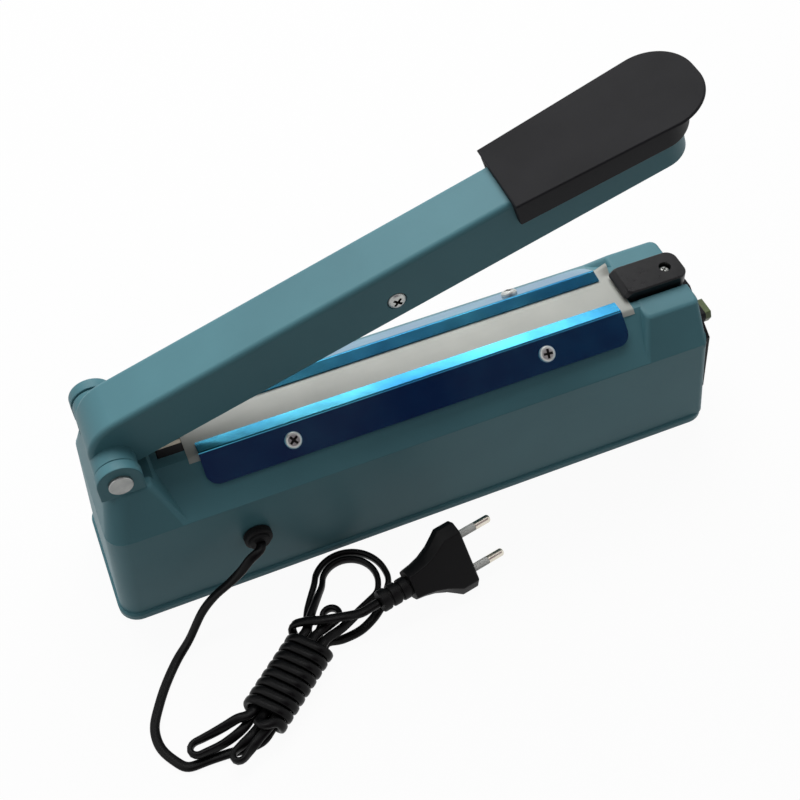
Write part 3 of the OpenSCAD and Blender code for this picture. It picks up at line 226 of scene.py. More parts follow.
def cord_route():
    route = [(Vector((GROMMET[0], GROMMET[1] - d, GROMMET[2])), Vector((1, 0, 0))) for d in (0, 1.5)]
    route += [at(-87.3, -45.2, 39.9, (0.8, -0.5, 0)), at(-92.3, -47, 38.6, (0.5, -0.75, -0.4)),
              at(-98, -48.6, 34.1, (0.5, -0.8, 0)), at(-104.6, -49.6, 29.6, (0.5, -0.75, 0.4)),
              at(-112.8, -50, 23.7, (0.5, -0.7, 0.5)), at(-120.6, -51.4, 16, (0.5, -0.8, 0.4)),
              at(-130, -57, 6.4, (0.4, -0.9, 0.3)),
              at(-138, -62.6, 2.6, (0.7, -0.7, 0.1)), at(-145.4, -71, LAY, (0.8, -0.6, 0)),
              at(-152, -81, LAY, (0.9, -0.4, 0)), at(-157, -91.4, LAY, (1, 0, 0)),
              at(-157, -101.4, LAY, (1, 0.2, 0)), at(-153, -109.6, LAY, (0.7, 0.7, 0))]
    route += [at(RUN_IN[0] - d, RUN_IN[1] + 0.05 * d, LAY, FLAT_Y) for d in (9, 4.5, 0, -4.5, -9)]
    route += [at(-121, -117, 2, FLAT_Y), at(-113.4, -116.8, 3.4, (-0.3, 0.9, 0))]
    route += strands(-1, -1, 1)
    route += [at(-64, -83.6, 3.4, HANK_V), at(-54, -81.8, LAY, (-0.3, 0.9, 0)),
              at(-46, -78.2, LAY, (-0.5, 0.8, 0)), at(-40, -73.6, LAY, (-0.6, 0.75, 0)),
              at(-35.4, -69.2, LAY, (-0.74, 0.67, 0))]
    route += loop_arc((-49, -57.5), 18, ON_EDGE, ON_EDGE + 2, -14, 160, 11)
    route += [at(-74, -63.6, 4, (0.2, 0.3, 0.8))] + strands(1, -1, -1)
    route += [at(-121, -109.5, 5.8, (-0.4, 0.7, 0.2)), at(-131, -112.8, 6, (0, 0.4, 0.9))]
    route += loop_arc((-142, -110.4), 3.1, 6, 6.4, 270, 90, 6)
    route += [at(-131, -106.6, 8, (0, 0.5, 0.8)), at(-121, -105.4, 9.6, (-0.3, 0.8, 0.2))]
    route += strands(1, 1, 1)
    route += [at(-71.6, -66, 7.8, (-0.4, 0.3, 0.8))]
    route += loop_arc((-49.5, -57), 13.6, ON_EDGE + 2, ON_EDGE + 0.5, 165, -48, 12)
    route += [at(-52, -74, 4.6, (-0.3, 0.6, 0.7)), at(-62, -80.2, 7.6, (-0.3, 0.6, 0.6))]
    route += strands(-1, 1, -1)
    route += [at(-115.5, -117.8, 8.2, (-0.4, 0.8, 0.2))]
    route += loop_arc((-125.5, -121), 2.9, 7.4, 6.6, 300, 120, 6)
    route += [at(-118.5, -114.4, 6.4, (-0.4, 0.8, 0.2))] + strands(0, -1, 1)
    route += loop_arc((-64.6, -72.3), 4.2, 6.6, 9.2, 180, -62, 8) + strands(0, 1, -1)
    route += [(on_hank(-3.8, -0.8, WRAP_MID + 4.6), HANK_V - 0.4 * HANK_U),
              (on_hank(-4, -4.4, WRAP_MID + WRAP_R - 0.4), -HANK_U)]
    route += wrap_turns()
    route += [(on_hank(WRAP_PITCH * WRAPS + 5.2, 12, WRAP_MID + 2.5), -HANK_U),
              (on_hank(WRAP_PITCH * WRAPS + 9, 7, WRAP_MID + 5), -HANK_U)]
    route += [at(*(LEAD_IN - d * LEAD_DIR), (0, -1, 0)) for d in (5, 2.5, 0, -4.5, -9)]
    route += [(plug_axis(-48 + s), Vector((0, -1, 0))) for s in (-10, -5, 0)]
    path = ease(smooth_path(route, 1.3), 6)
    on_table = slice(60, 150)
    path[on_table] = ease(path[on_table], 60)
    return path


def ease(path, passes):
    """Takes small kinks out of a path: each pass draws points together and then lets them back."""
    places = [p[0] for p in path]
    for _ in range(passes):
        for share in (0.5, -0.53):
            mean = [(a + b) / 2 for a, b in zip(places, places[2:])]
            places[1:-1] = [p + share * (m - p) for p, m in zip(places[1:-1], mean)]
    return [(place, width) for place, (_, width) in zip(places, path)]


cord_path = cord_route()
mains_cord = sweep("mains_cord", cord_path, oval(CORD_W, CORD_T, 16, 0.8))
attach(mains_cord, "base")
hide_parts("cord_run", "cord_hank", "plug_lead")


# Materials
def ink(code):
    """An sRGB hex colour as linear red, green, blue and alpha."""
    parts = [int(code[i:i + 2], 16) / 255 for i in (1, 3, 5)]
    return tuple(c / 12.92 if c <= 0.04045 else ((c + 0.055) / 1.055) ** 2.4 for c in parts) + (1.0,)


def add(mat, kind, settings=None, links=None):
    """Adds a node. A setting is a socket's value or the node's own, and a link names a socket, the node
    that feeds it and that node's output."""
    made = mat.node_tree.nodes.new("ShaderNode" + kind)
    for key, value in (settings or {}).items():
        if isinstance(key, int) or key in made.inputs:
            made.inputs[key].default_value = value
        else:
            setattr(made, key, value)
    for key, (source, output) in (links or {}).items():
        mat.node_tree.links.new(source.outputs[output], made.inputs[key])
    return made


def surface(name, dark, light, rough, grain, relief, blotch=40.0, **sockets):
    """A finish whose colour drifts from dark to light over blotches, with a grain in its relief and gloss.
    Grain, relief and blotch are in millimetres, and a grain too fine to show in the render is drawn as
    coarse as it needs to show."""
    mat = bpy.data.materials.new(name)
    mat.use_nodes = True
    shader = mat.node_tree.nodes["Principled BSDF"]
    for key, value in sockets.items():
        shader.inputs[key.replace("_", " ")].default_value = value
    where = add(mat, "TexCoord")
    cloud = add(mat, "TexNoise", {"Scale": 1000 / blotch, "Detail": 4.0}, {"Vector": (where, "Object")})
    tone = add(mat, "ValToRGB", links={"Fac": (cloud, "Fac")})
    for stop, place, code in zip(tone.color_ramp.elements, (0.3, 0.7), (dark, light)):
        stop.position = place
        stop.color = ink(code)
    speck = add(mat, "TexNoise", {"Scale": 1000 / grain, "Detail": 2.0}, {"Vector": (where, "Object")})
    gloss = add(mat, "MapRange", {"To Min": rough - 0.07, "To Max": rough + 0.07},
                {"Value": (speck, "Fac")})
    bump = add(mat, "Bump", {"Strength": 0.6, "Distance": relief * MM}, {"Height": (speck, "Fac")})
    feeds = (("Base Color", tone, "Color"), ("Roughness", gloss, "Result"), ("Normal", bump, "Normal"))
    for key, source, output in feeds:
        mat.node_tree.links.new(source.outputs[output], shader.inputs[key])
    return mat


# ABS moulded in a spark-eroded tool: an even grey teal with a soft sheen and a fine grain
teal_abs = surface("abs_teal_spark_eroded", "#507e88", "#578892", 0.46, 1.1, 0.03, 55,
                   Specular_IOR_Level=0.24)
# ABS moulded black with a satin skin: nearly black with a slight violet cast and broad dull highlights
black_abs = surface("abs_black_satin", "#131316", "#1b1b1e", 0.5, 0.9, 0.03, 30,
                    Specular_IOR_Level=0.13)
# Soft PVC moulded over the plug: dead black, dull, with a leathery grain
plug_pvc = surface("pvc_black_moulded", "#0a0a0b", "#0f0f10", 0.5, 0.8, 0.04, 25,
                   Specular_IOR_Level=0.14)
# PVC drawn over twin cores: black, with a shallow ripple and a waxy gloss
cord_pvc = surface("pvc_black_extruded", "#070708", "#0d0d0e", 0.36, 2.2, 0.05, 18,
                   Specular_IOR_Level=0.12)
# Aluminium sheet anodised blue: a coloured mirror, a little wavy as rolled sheet is
blue_sheet = surface("aluminium_anodised_blue", "#2e7aa8", "#4fa6bc", 0.19, 14, 0.13, 60, Metallic=1.0)
# Glass cloth coated with PTFE: pale grey, with a fine grain and a greasy gloss
ptfe_glass = surface("glass_cloth_ptfe_coated", "#a8aaa4", "#b7b9b2", 0.4, 1.0, 0.02, 35,
                     Specular_IOR_Level=0.35)
# Steel with zinc plating: pale grey metal with a faint grain
zinc_steel = surface("steel_zinc_plated", "#b9bcbd", "#d3d5d4", 0.28, 0.7, 0.01, 6, Metallic=1.0)
# Brass plated with nickel: warm bright metal
nickel_brass = surface("brass_nickel_plated", "#cfc8ba", "#e2dccf", 0.24, 3.0, 0.001, 8, Metallic=1.0)
# Nylon sleeves on the pins: pale grey, dull
grey_nylon = surface("nylon_pale_grey", "#e4e5e0", "#eeeeea", 0.5, 3.0, 0.005, 12)
# ABS moulded olive, for the cap of the knob: a dull dark green
olive_abs = surface("abs_olive_moulded", "#3d4a24", "#51622f", 0.4, 0.8, 0.02, 10)
# Moulded rubber of the feet and grommet: matt black
foot_rubber = surface("rubber_black_moulded", "#0e0e0f", "#141415", 0.6, 0.6, 0.03, 14,
                      Specular_IOR_Level=0.15)
# Silicone rubber extruded: a milky tan with a soft glow
silicone = surface("silicone_extruded", "#b3ada2", "#c0baaf", 0.48, 0.9, 0.02, 20,
                   Subsurface_Weight=0.15)
# Aluminium bar as extruded: dull grey metal
bar_alloy = surface("aluminium_extruded", "#9da1a3", "#b5b8b9", 0.36, 0.5, 0.02, 25, Metallic=1.0)
# Nickel chrome ribbon, heated often: grey metal gone brown in places
heat_ribbon = surface("nickel_chrome_ribbon", "#7c7468", "#a09a90", 0.34, 0.5, 0.01, 9, Metallic=1.0)
# Glass tape with an adhesive: straw coloured, dull
glass_tape = surface("glass_tape_straw", "#8d8268", "#a0957a", 0.55, 0.7, 0.05, 12)
# Brass strip, stamped and tinned: dull grey metal with a warm cast
brass_strip = surface("brass_tinned", "#8f8a7e", "#a8a294", 0.36, 0.6, 0.01, 8, Metallic=1.0)
# Polycarbonate lens, moulded: glossy red that lets half the light in
red_lens = surface("polycarbonate_red", "#b02a1c", "#c8402e", 0.12, 1.0, 0.01, 5,
                   Transmission_Weight=0.5)
# Silicon steel plates, stamped and stacked: dark grey metal with a rough grain
core_steel = surface("silicon_steel_stack", "#5f6163", "#7c7f80", 0.42, 0.5, 0.05, 14, Metallic=1.0)
# Copper wire wound under a varnish: glossy reddish brown with a rough grain
coil_copper = surface("copper_varnished", "#93501f", "#b86d34", 0.3, 0.6, 0.15, 12, Metallic=1.0)
# Glass epoxy board printed with a green mask: even green with a slight gloss
green_board = surface("epoxy_glass_green", "#2f6a38", "#3a7d43", 0.32, 0.8, 0.02, 9)
# Polyester moulded blue, for the relay: dull and even
blue_case = surface("polyester_blue", "#2c4a78", "#365888", 0.38, 0.8, 0.02, 12)
# Acetal moulded red, for the plunger: slightly waxy
red_acetal = surface("acetal_red", "#a52c2c", "#b83a38", 0.36, 0.6, 0.02, 6)
# ABS moulded black for the switch cap: blacker and glossier, with a broken highlight
cap_abs = surface("abs_black_polished", "#0f0f11", "#151518", 0.3, 4.0, 0.05, 20,
                  Specular_IOR_Level=0.28)
# Screw heads with bright zinc plating: pale grey metal with a soft gloss
screw_zinc = surface("steel_zinc_bright", "#b4b6b4", "#c8cac6", 0.42, 0.5, 0.01, 4, Metallic=0.75)
# Cross recess of a screw: painted shade, dark as the hollow of the cross lies in shadow
recess_painted_shade = surface("steel_recess_painted_shade", "#2b2b29", "#3a3a37", 0.6, 0.5, 0.01, 3,
                     Specular_IOR_Level=0.2)
# Hinge pin, turned from bright steel: an even grey with a shiny rim
pin_steel = surface("steel_turned_bright", "#8c8e8d", "#a0a19f", 0.33, 0.5, 0.01, 5, Metallic=1.0)
# Spring wire, oiled steel: dark grey metal
spring_steel = surface("spring_wire_oiled", "#6a6c6d", "#86888a", 0.3, 0.5, 0.01, 5, Metallic=1.0)

FINISH = {
    "teal_shell": teal_abs, "black_plastic": black_abs, "blue_strip": blue_sheet,
    "ptfe_cloth": ptfe_glass, "zinc_steel": zinc_steel, "aluminium_bar": bar_alloy,
    "resistance_wire": heat_ribbon, "glass_tape": glass_tape, "silicone": silicone,
    "black_rubber": foot_rubber, "brass": brass_strip, "nickel_pins": nickel_brass,
    "grey_plastic": grey_nylon, "red_lens": red_lens, "green_plastic": olive_abs,
    "core_steel": core_steel, "copper_coil": coil_copper, "green_board": green_board,
    "blue_plastic": blue_case, "red_plastic": red_acetal, "cord_sheath": cord_pvc,
}


def dress(piece, mat):
    piece.data.materials.clear()
    piece.data.materials.append(mat)


dress(mains_cord, cord_pvc)
for part in frame["record"]["subparts"]:
    if part["material_slot"] in FINISH:
        dress(cad[part["node"]], FINISH[part["material_slot"]])
dress(cad["plug_body"], plug_pvc)


# Modelling by hand: a primitive is shaped in edit mode, and other solids are joined to it or cut from it
def pick_out(*pieces):
    bpy.ops.object.select_all(action="DESELECT")
    for piece in pieces:
        piece.select_set(True)
    bpy.context.view_layer.objects.active = pieces[0]


def block(name, low, high):
    bpy.ops.object.select_all(action="DESELECT")
    low, high = Vector(low) * MM, Vector(high) * MM
    bpy.ops.mesh.primitive_cube_add(size=1, location=(low + high) / 2, scale=high - low)
    piece = bpy.context.object
    piece.name = name
    bpy.ops.object.transform_apply(location=True, rotation=True, scale=True)
    return piece


def rod(name, start, end, radius, sides=48):
    bpy.ops.object.select_all(action="DESELECT")
    start, end = Vector(start) * MM, Vector(end) * MM
    bpy.ops.mesh.primitive_cylinder_add(vertices=sides, radius=radius * MM, depth=(end - start).length,
                                        location=(start + end) / 2,
                                        rotation=(end - start).to_track_quat("Z", "Y").to_euler())
    piece = bpy.context.object
    piece.name = name
    bpy.ops.object.transform_apply(location=True, rotation=True, scale=True)
    return piece


def twin(piece, name):
    """A copy of a piece, with a mesh of its own."""
    other = piece.copy()
    other.data = piece.data.copy()
    other.name = name
    bpy.context.scene.collection.objects.link(other)
    return other


def open_edit(piece, kind, pick):
    """Edit mode on a piece, with the vertices, edges or faces that pick accepts selected."""
    pick_out(piece)
    bpy.ops.object.mode_set(mode="EDIT")
    bpy.ops.mesh.select_mode(type=kind)
    bpy.ops.mesh.select_all(action="DESELECT")
    shape = bmesh.from_edit_mesh(piece.data)
    for part in {"VERT": shape.verts, "EDGE": shape.edges, "FACE": shape.faces}[kind]:
        if pick(part):
            part.select_set(True)
    shape.select_flush_mode()
    bmesh.update_edit_mesh(piece.data)


def close_edit():
    bpy.ops.object.mode_set(mode="OBJECT")


def middle(part):
    """The middle of an edge or face, in millimetres."""
    return sum((v.co for v in part.verts), Vector()) / len(part.verts) / MM


def slice_off(piece, point, normal):
    """Cuts away what lies beyond a plane and closes the cut."""
    open_edit(piece, "FACE", lambda f: True)
    bpy.ops.mesh.bisect(plane_co=Vector(point) * MM, plane_no=Vector(normal).normalized(), use_fill=True,
                        clear_outer=True)
    close_edit()


def round_edges(piece, width, steps, pick, least=20.0):
    """Rounds the picked edges that turn by more than the least angle."""
    def turns(edge):
        return edge.is_manifold and math.degrees(edge.calc_face_angle(0)) > least and pick(middle(edge))

    open_edit(piece, "EDGE", turns)
    bpy.ops.mesh.bevel(offset=width * MM, segments=steps, affect="EDGES", clamp_overlap=True)
    close_edit()


def combine(piece, how, *others):
    """Joins other solids to a piece, cuts them from it, or keeps what they share."""
    for other in others:
        pick_out(piece)
        tool = piece.modifiers.new("combine", "BOOLEAN")
        tool.operation = how
        tool.solver = "EXACT"
        tool.object = other
        bpy.ops.object.modifier_apply(modifier=tool.name)
        bpy.data.objects.remove(other, do_unlink=True)
    return piece


def clean(piece, gap=0.05):
    """Merges points that lie together and dissolves the seams that joining leaves in flat faces."""
    open_edit(piece, "VERT", lambda v: True)
    bpy.ops.mesh.remove_doubles(threshold=gap * MM)
    bpy.ops.mesh.dissolve_degenerate(threshold=gap * MM / 2)
    bpy.ops.mesh.select_all(action="SELECT")
    bpy.ops.mesh.dissolve_limited(angle_limit=math.radians(0.6))
    bpy.ops.mesh.select_all(action="SELECT")
    bpy.ops.mesh.normals_make_consistent(inside=False)
    close_edit()


def push_face(piece, pick, move, scale=None):
    """Extrudes the picked faces by a move in millimetres, and scales the new end about its middle."""
    open_edit(piece, "FACE", pick)
    bpy.ops.mesh.extrude_region_move(TRANSFORM_OT_translate={"value": Vector(move) * MM})
    if scale:
        shape = bmesh.from_edit_mesh(piece.data)
        ends = [f for f in shape.faces if f.select]
        mid = sum((middle(f) for f in ends), Vector()) / len(ends) * MM
        bpy.ops.transform.resize(value=scale, center_override=mid)
    close_edit()


def put_on(piece, body, slot, mat, *nodes, place=None, angle=35.0):
    """Finishes a piece: its place, shading and finish, the body that it rides on, and the solids that it
    stands for."""
    if place is not None:
        piece.data.transform(place)
    pick_out(piece)
    bpy.ops.object.shade_smooth_by_angle(angle=math.radians(angle))
    even = piece.modifiers.new("even_shading", "WEIGHTED_NORMAL")
    even.keep_sharp = True
    bpy.ops.object.modifier_apply(modifier=even.name)
    dress(piece, mat)
    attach(piece, body)
    if nodes:
        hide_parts(*nodes)
    return piece


def turned(axis, degrees):
    return Matrix.Rotation(math.radians(degrees), 4, axis)


def moved(x, y, z):
    return Matrix.Translation(Vector((x, y, z)) * MM)


# Body: a prism with leaning walls and a ridged roof, a hinge pedestal with two ears, and a front shoulder
def walled(name, low, high, inset, slope):
    """A block with the body's leaning walls, whose sides slope in above the crease."""
    piece = block(name, low, high)
    for s in (-1, 1):
        crease = (0, s * (HALF_W - inset), CREASE_Z)
        slice_off(piece, crease, (0, s * WALL_H, -WALL_LEAN))
        slice_off(piece, crease, (0, s * slope[0], slope[1]))
    return piece


def make_body():
    body = walled("body_moulding", (REAR_X, -38, FOOT_Z), (150, 38, 83.2), 0, ROOF_SLOPE)
    slice_off(body, (REAR_X, 0, FOOT_Z), (-WALL_H, 0, REAR_LEAN))
    slice_off(body, END_FOOT, END_LEAN)
    combine(body, "DIFFERENCE", block("cut", (-170, -60, CREASE_Z), (PIN[0], 60, 90)))
    clean(body)
    round_edges(body, 4.0, 6, lambda m: m.x > 142 and 20 < m.z < 60 and abs(m.y) > 30)
    round_edges(body, 9.3, 8, lambda m: m.x < -155 and 20 < m.z < 60 and abs(m.y) > 30)
    round_edges(body, 1.8, 4, lambda m: abs(m.z - CREASE_Z) < 1 and abs(m.y) > 30 and m.x > -140)

    # The pedestal and the shoulder lie a little inside the walls, so that no two faces coincide
    tuck = 0.05
    rise = PEDESTAL_Z - CREASE_Z
    pedestal = walled("pedestal", (REAR_X, -38, 58), (-115, 38, PEDESTAL_Z), tuck, (rise, 8.5))
    slice_off(pedestal, (-121.5, 0, CREASE_Z), (rise, 0, 10.5))
    slice_off(pedestal, (-158.55, 0, CREASE_Z), (-rise, 0, 6.2))
    slice_off(pedestal, (REAR_X + tuck, 0, FOOT_Z), (-WALL_H, 0, REAR_LEAN))
    round_edges(pedestal, 9.3, 8, lambda m: m.x < -150 and abs(m.y) > 24 and 59 < m.z < 89, least=60)
    round_edges(pedestal, 3.0, 4, lambda m: m.x > -140 and abs(m.y) > 24 and 67 < m.z < 89)
    round_edges(pedestal, 1.6, 3, lambda m: m.z > PEDESTAL_Z - 0.1)

    rise = SHOULDER_Z - CREASE_Z
    shoulder = walled("shoulder", (100, -38, 58), (SHOULDER_X, 38, SHOULDER_Z), tuck, (rise, 13.5))
    slice_off(shoulder, (107.5, 0, CREASE_Z), (-rise, 0, 6))
    round_edges(shoulder, 3.2, 5, lambda m: m.x > SHOULDER_X - 0.15 and abs(m.y) > 20 and 59 < m.z < 83)
    round_edges(shoulder, 2.5, 3, lambda m: m.x < 115 and abs(m.y) > 20 and 67 < m.z < 83)
    round_edges(shoulder, 1.6, 3, lambda m: m.z > SHOULDER_Z - 0.1)
    combine(body, "UNION", pedestal, shoulder)

    combine(body, "DIFFERENCE", block("slot", (-180, -EAR_IN, 86.6), (-104, EAR_IN, 140)))
    for s in (-1, 1):
        ear = rod("ear", (PIN[0], s * EAR_IN, PIN[2]), (PIN[0], s * EAR_OUT, PIN[2]), EAR_R)
        slice_off(ear, PIN, (0, 0, -1))
        push_face(ear, lambda f: f.normal.z < -0.9, (0, 0, -8.5))
        round_edges(ear, 0.8, 2, lambda m: not EAR_IN + 0.15 < abs(m.y) < EAR_OUT - 0.15 and m.z > 90,
                    least=60)
        combine(body, "UNION", ear)
    combine(body, "DIFFERENCE", block("trough", (-126, -9.2, 75), (109.5, 9.2, 100)))
    pocket = block("pocket", (110.6, -10.5, 79.8), (150, 10.5, 100))
    hollow = block("hollow", (-154, -32, 5), (139, 32, 64))
    timer_hole = block("timer_hole", (130, -14, 32.5), (150, 14, 58.5))
    lamp_hole = rod("lamp_hole", (130, 0, LAMP_Z), (150, 0, LAMP_Z), 3.6)
    bore = rod("bore", (PIN[0], -40, PIN[2]), (PIN[0], 40, PIN[2]), 3.02)
    combine(body, "DIFFERENCE", pocket, hollow, timer_hole, lamp_hole, bore)
    return put_on(body, "base", "teal_shell", teal_abs, "body_shell")


# Base plate: a lip all round the body, with a rim that fits inside it
def make_base_plate():
    plate = block("base_plate_moulding", (-164.5, -HALF_W, 3), (151, HALF_W, FOOT_Z))
    round_edges(plate, 10.0, 10, lambda m: abs(m.y) > 35 and abs(m.z - 5.25) < 1)
    round_edges(plate, 1.15, 4, lambda m: m.z > FOOT_Z - 0.1, least=60)
    round_edges(plate, 0.6, 2, lambda m: m.z < 3.1, least=60)
    combine(plate, "UNION", block("rim", (-151.5, -31.7, 4), (138.7, 31.7, 9.1)))
    holes = [block("tray", (-149.9, -30.1, 5), (137.1, 30.1, 12))]
    for s in (-1, 1):
        for t in (-1, 1):
            for name, (x, y), radius in (("screw_hole", BASE_SCREW, 1.7), ("foot_hole", BASE_FOOT, 2.42)):
                holes.append(rod(name, (MID + s * x, t * y, 0), (MID + s * x, t * y, 8), radius))
    combine(plate, "DIFFERENCE", *holes)
    return put_on(plate, "base", "teal_shell", teal_abs, "base_plate")


# Control panel: a plate over the front end that leans with it, and a raised field round the knob
def panel_face(z):
    return PANEL_TOP.x + (PANEL_TOP.z - z) * PANEL_LEAN.z / PANEL_LEAN.x


def make_panel():
    panel = block("control_panel_moulding", (142, -30, 21.5), (152, 30, 78.4))
    raised = block("raised", (144, -27.4, 24.5), (152, 27.4, 74))
    for plate, half, proud in ((panel, 30.0, 0.0), (raised, 27.4, 0.4)):
        for s in (-1, 1):
            slice_off(plate, (0, s * half, PANEL_TOP.z), (0, s * 16.3, 21.7))
        slice_off(plate, PANEL_TOP + Vector((proud, 0, 0)), PANEL_LEAN)
        slice_off(plate, END_FOOT + Vector((0.02, 0, 0)), -END_LEAN)
        clean(plate)
        round_edges(plate, 2.2, 4, lambda m: m.z < 26 and abs(m.y) > 27 and m.x > 143, least=60)
        round_edges(plate, 0.4, 2, lambda m: m.x > panel_face(m.z) - 0.1, least=35)
    combine(panel, "UNION", raised)
    holes = [rod("shaft_hole", (140, 0, KNOB_Z), (152, 0, KNOB_Z), 3.6)]
    holes.append(rod("lamp_hole", (140, 0, LAMP_Z), (152, 0, LAMP_Z), 3.05))
    holes.append(rod("lamp_seat", (148.45, 0, LAMP_Z), (152, 0, LAMP_Z), 3.85))
    holes.append(block("room", (140, -8.6, 36), (144.5, 8.6, 53)))
    for y, z in PANEL_SEATS:
        holes.append(rod("shank", (140, y, z), (152, y, z), 1.6))
        holes.append(rod("seat", (panel_face(z) - 1, y, z), (152, y, z), 3.2))
    combine(panel, "DIFFERENCE", *holes)
    return put_on(panel, "base", "black_plastic", black_abs, "control_panel")


# Timer knob: a fluted grip with one flat side, a round skirt that hides the nut, and an eight-sided cap
def make_knob():
    flat = (0, 0, KNOB_FLAT)
    knob = rod("timer_knob_moulding", (KNOB_BACK, 0, KNOB_Z), (KNOB_FACE, 0, KNOB_Z), KNOB_R, 60)
    slice_off(knob, flat, UP)
    round_edges(knob, 0.5, 2, lambda m: m.z > KNOB_FLAT - 0.1 and KNOB_BACK + 1 < m.x < KNOB_FACE - 1,
                least=40)
    skirt = rod("skirt", (KNOB_BACK, 0, KNOB_Z), (153.2, 0, KNOB_Z), SKIRT_R, 60)
    round_edges(skirt, 0.5, 2, lambda m: True, least=40)
    combine(knob, "UNION", skirt)
    holes = [rod("shaft_hole", (148, 0, KNOB_Z), (159.5, 0, KNOB_Z), 3.02)]
    holes.append(rod("nut_room", (148, 0, KNOB_Z), (151.7, 0, KNOB_Z), NUT_ROOM_R))
    for k in range(12):
        a = math.radians(30 * k + 15)
        y = (KNOB_R + 0.4) * math.cos(a)
        z = KNOB_Z + (KNOB_R + 0.4) * math.sin(a)
        holes.append(rod("flute", (154, y, z), (159, y, z), 0.9, 16))
    combine(knob, "DIFFERENCE", *holes)
    put_on(knob, "knob", "black_plastic", black_abs, "timer_knob")
    cap = rod("knob_cap_moulding", (KNOB_FACE, 0, KNOB_Z), (KNOB_END, 0, KNOB_Z), KNOB_R, 8)
    slice_off(cap, flat, UP)
    round_edges(cap, 0.4, 2, lambda m: m.x > KNOB_FACE + 0.1, least=30)
    put_on(cap, "knob", "green_plastic", olive_abs, "knob_cap")


# Hinge pin: a rod with a flat head that has a turned edge
def make_hinge_pin():
    pin = rod("hinge_pin_turned", (PIN[0], -27.5, PIN[2]), (PIN[0], 31.2, PIN[2]), 3.0)
    head = rod("head", (PIN[0], -28.6, PIN[2]), (PIN[0], -27.02, PIN[2]), 5.5)
    round_edges(head, 0.45, 3, lambda m: m.y < -28.5)
    combine(pin, "UNION", head)
    return put_on(pin, "base", "zinc_steel", pin_steel, "hinge_pin")


# Press arm, drawn along X from the hinge pin and then turned to its place
def make_arm():
    arm = block("press_arm_moulding", (-9, ARM_NEAR, -9.3), (ARM_END, ARM_FAR, ARM_TOP))
    slice_off(arm, (12, 0, -8), (-1.2, 0, -273))
    slice_off(arm, (4.5, 0, -8), (-8, 0, -13.5))
    round_edges(arm, 19.9, 16, lambda m: m.x < -5 and m.z > 15 and abs(m.y) < 1)
    round_edges(arm, 13.1, 12, lambda m: m.x > ARM_END - 1 and abs(m.y) > 12)
    clean(arm, 0.3)
    round_edges(arm, 2.8, 5, lambda m: m.z > -6.5 and (abs(m.y) > 12 or m.x > ARM_ROUND_X))
    clean(arm, 0.05)
    barrel = rod("barrel", (0, -21.1, 0), (0, 21.1, 0), BARREL_R)
    round_edges(barrel, 0.8, 2, lambda m: abs(m.y) > 21)
    combine(arm, "UNION", barrel)
    rear_hollow = block("rear_hollow", (18, -11.6, -40), (258, 11.6, 17.6))
    front_hollow = block("front_hollow", (262, -11.6, -40), (ARM_ROUND_X, 11.6, 17.6))
    combine(front_hollow, "UNION", rod("round", (ARM_ROUND_X, 0, -40), (ARM_ROUND_X, 0, 17.6), 11.6))
    spring_slot = block("spring_slot", (-20, -7, -20), (19, 7, 8.5))
    bore = rod("bore", (0, -40, 0), (0, 40, 0), 3.05)
    seats = []
    for y in ARM_SEATS:
        seats.append(rod("seat", (ARM_SEAT_X, y, ARM_SEAT_Z), (ARM_SEAT_X, 1.6 * y, ARM_SEAT_Z), 4.6))
    combine(arm, "DIFFERENCE", rear_hollow, front_hollow, spring_slot, bore, *seats)
    return put_on(arm, "arm", "teal_shell", teal_abs, "press_arm", place=ARM)


# Grip: a plate with a round end and a thin rim, on a skirt that fits round the arm
def make_grip():
    grip = block("arm_grip_moulding", (GRIP_X, -GRIP_HALF, ARM_TOP), (297, GRIP_HALF, 23))
    round_edges(grip, 20.5, 22, lambda m: m.x > 296 and abs(m.y) > 23)
    clean(grip, 0.3)
    open_edit(grip, "FACE", lambda f: f.normal.x < -0.9)
    middle_of_end = Vector((GRIP_X, 0, 21.5)) * MM
    bpy.ops.transform.resize(value=(1, GRIP_NARROW / GRIP_HALF, 1), center_override=middle_of_end)
    close_edit()
    round_edges(grip, 0.9, 4, lambda m: m.z > 22.9)
    round_edges(grip, 1.9, 1, lambda m: m.z < 20.1)
    skirt = block("skirt", (GRIP_X, -17.2, 8.2), (288.6, 17.2, 20.6))
    round_edges(skirt, 17.1, 16, lambda m: m.x > 288 and abs(m.y) > 17)
    round_edges(skirt, 0.8, 2, lambda m: m.z < 8.3 or m.x < GRIP_X + 0.1 and abs(m.y) > 17)
    for v in skirt.data.vertices:
        v.co.y *= 1 + 0.18 * (v.co.x / MM - GRIP_X) / 86
    combine(grip, "UNION", skirt)
    inside = block("inside", (190, -14.05, 0), (ARM_ROUND_X, 14.05, 20.05))
    combine(inside, "UNION", rod("round", (ARM_ROUND_X, 0, 0), (ARM_ROUND_X, 0, 20.05), 14.05))
    combine(grip, "DIFFERENCE", inside)
    return put_on(grip, "arm", "black_plastic", black_abs, "arm_grip", place=ARM)


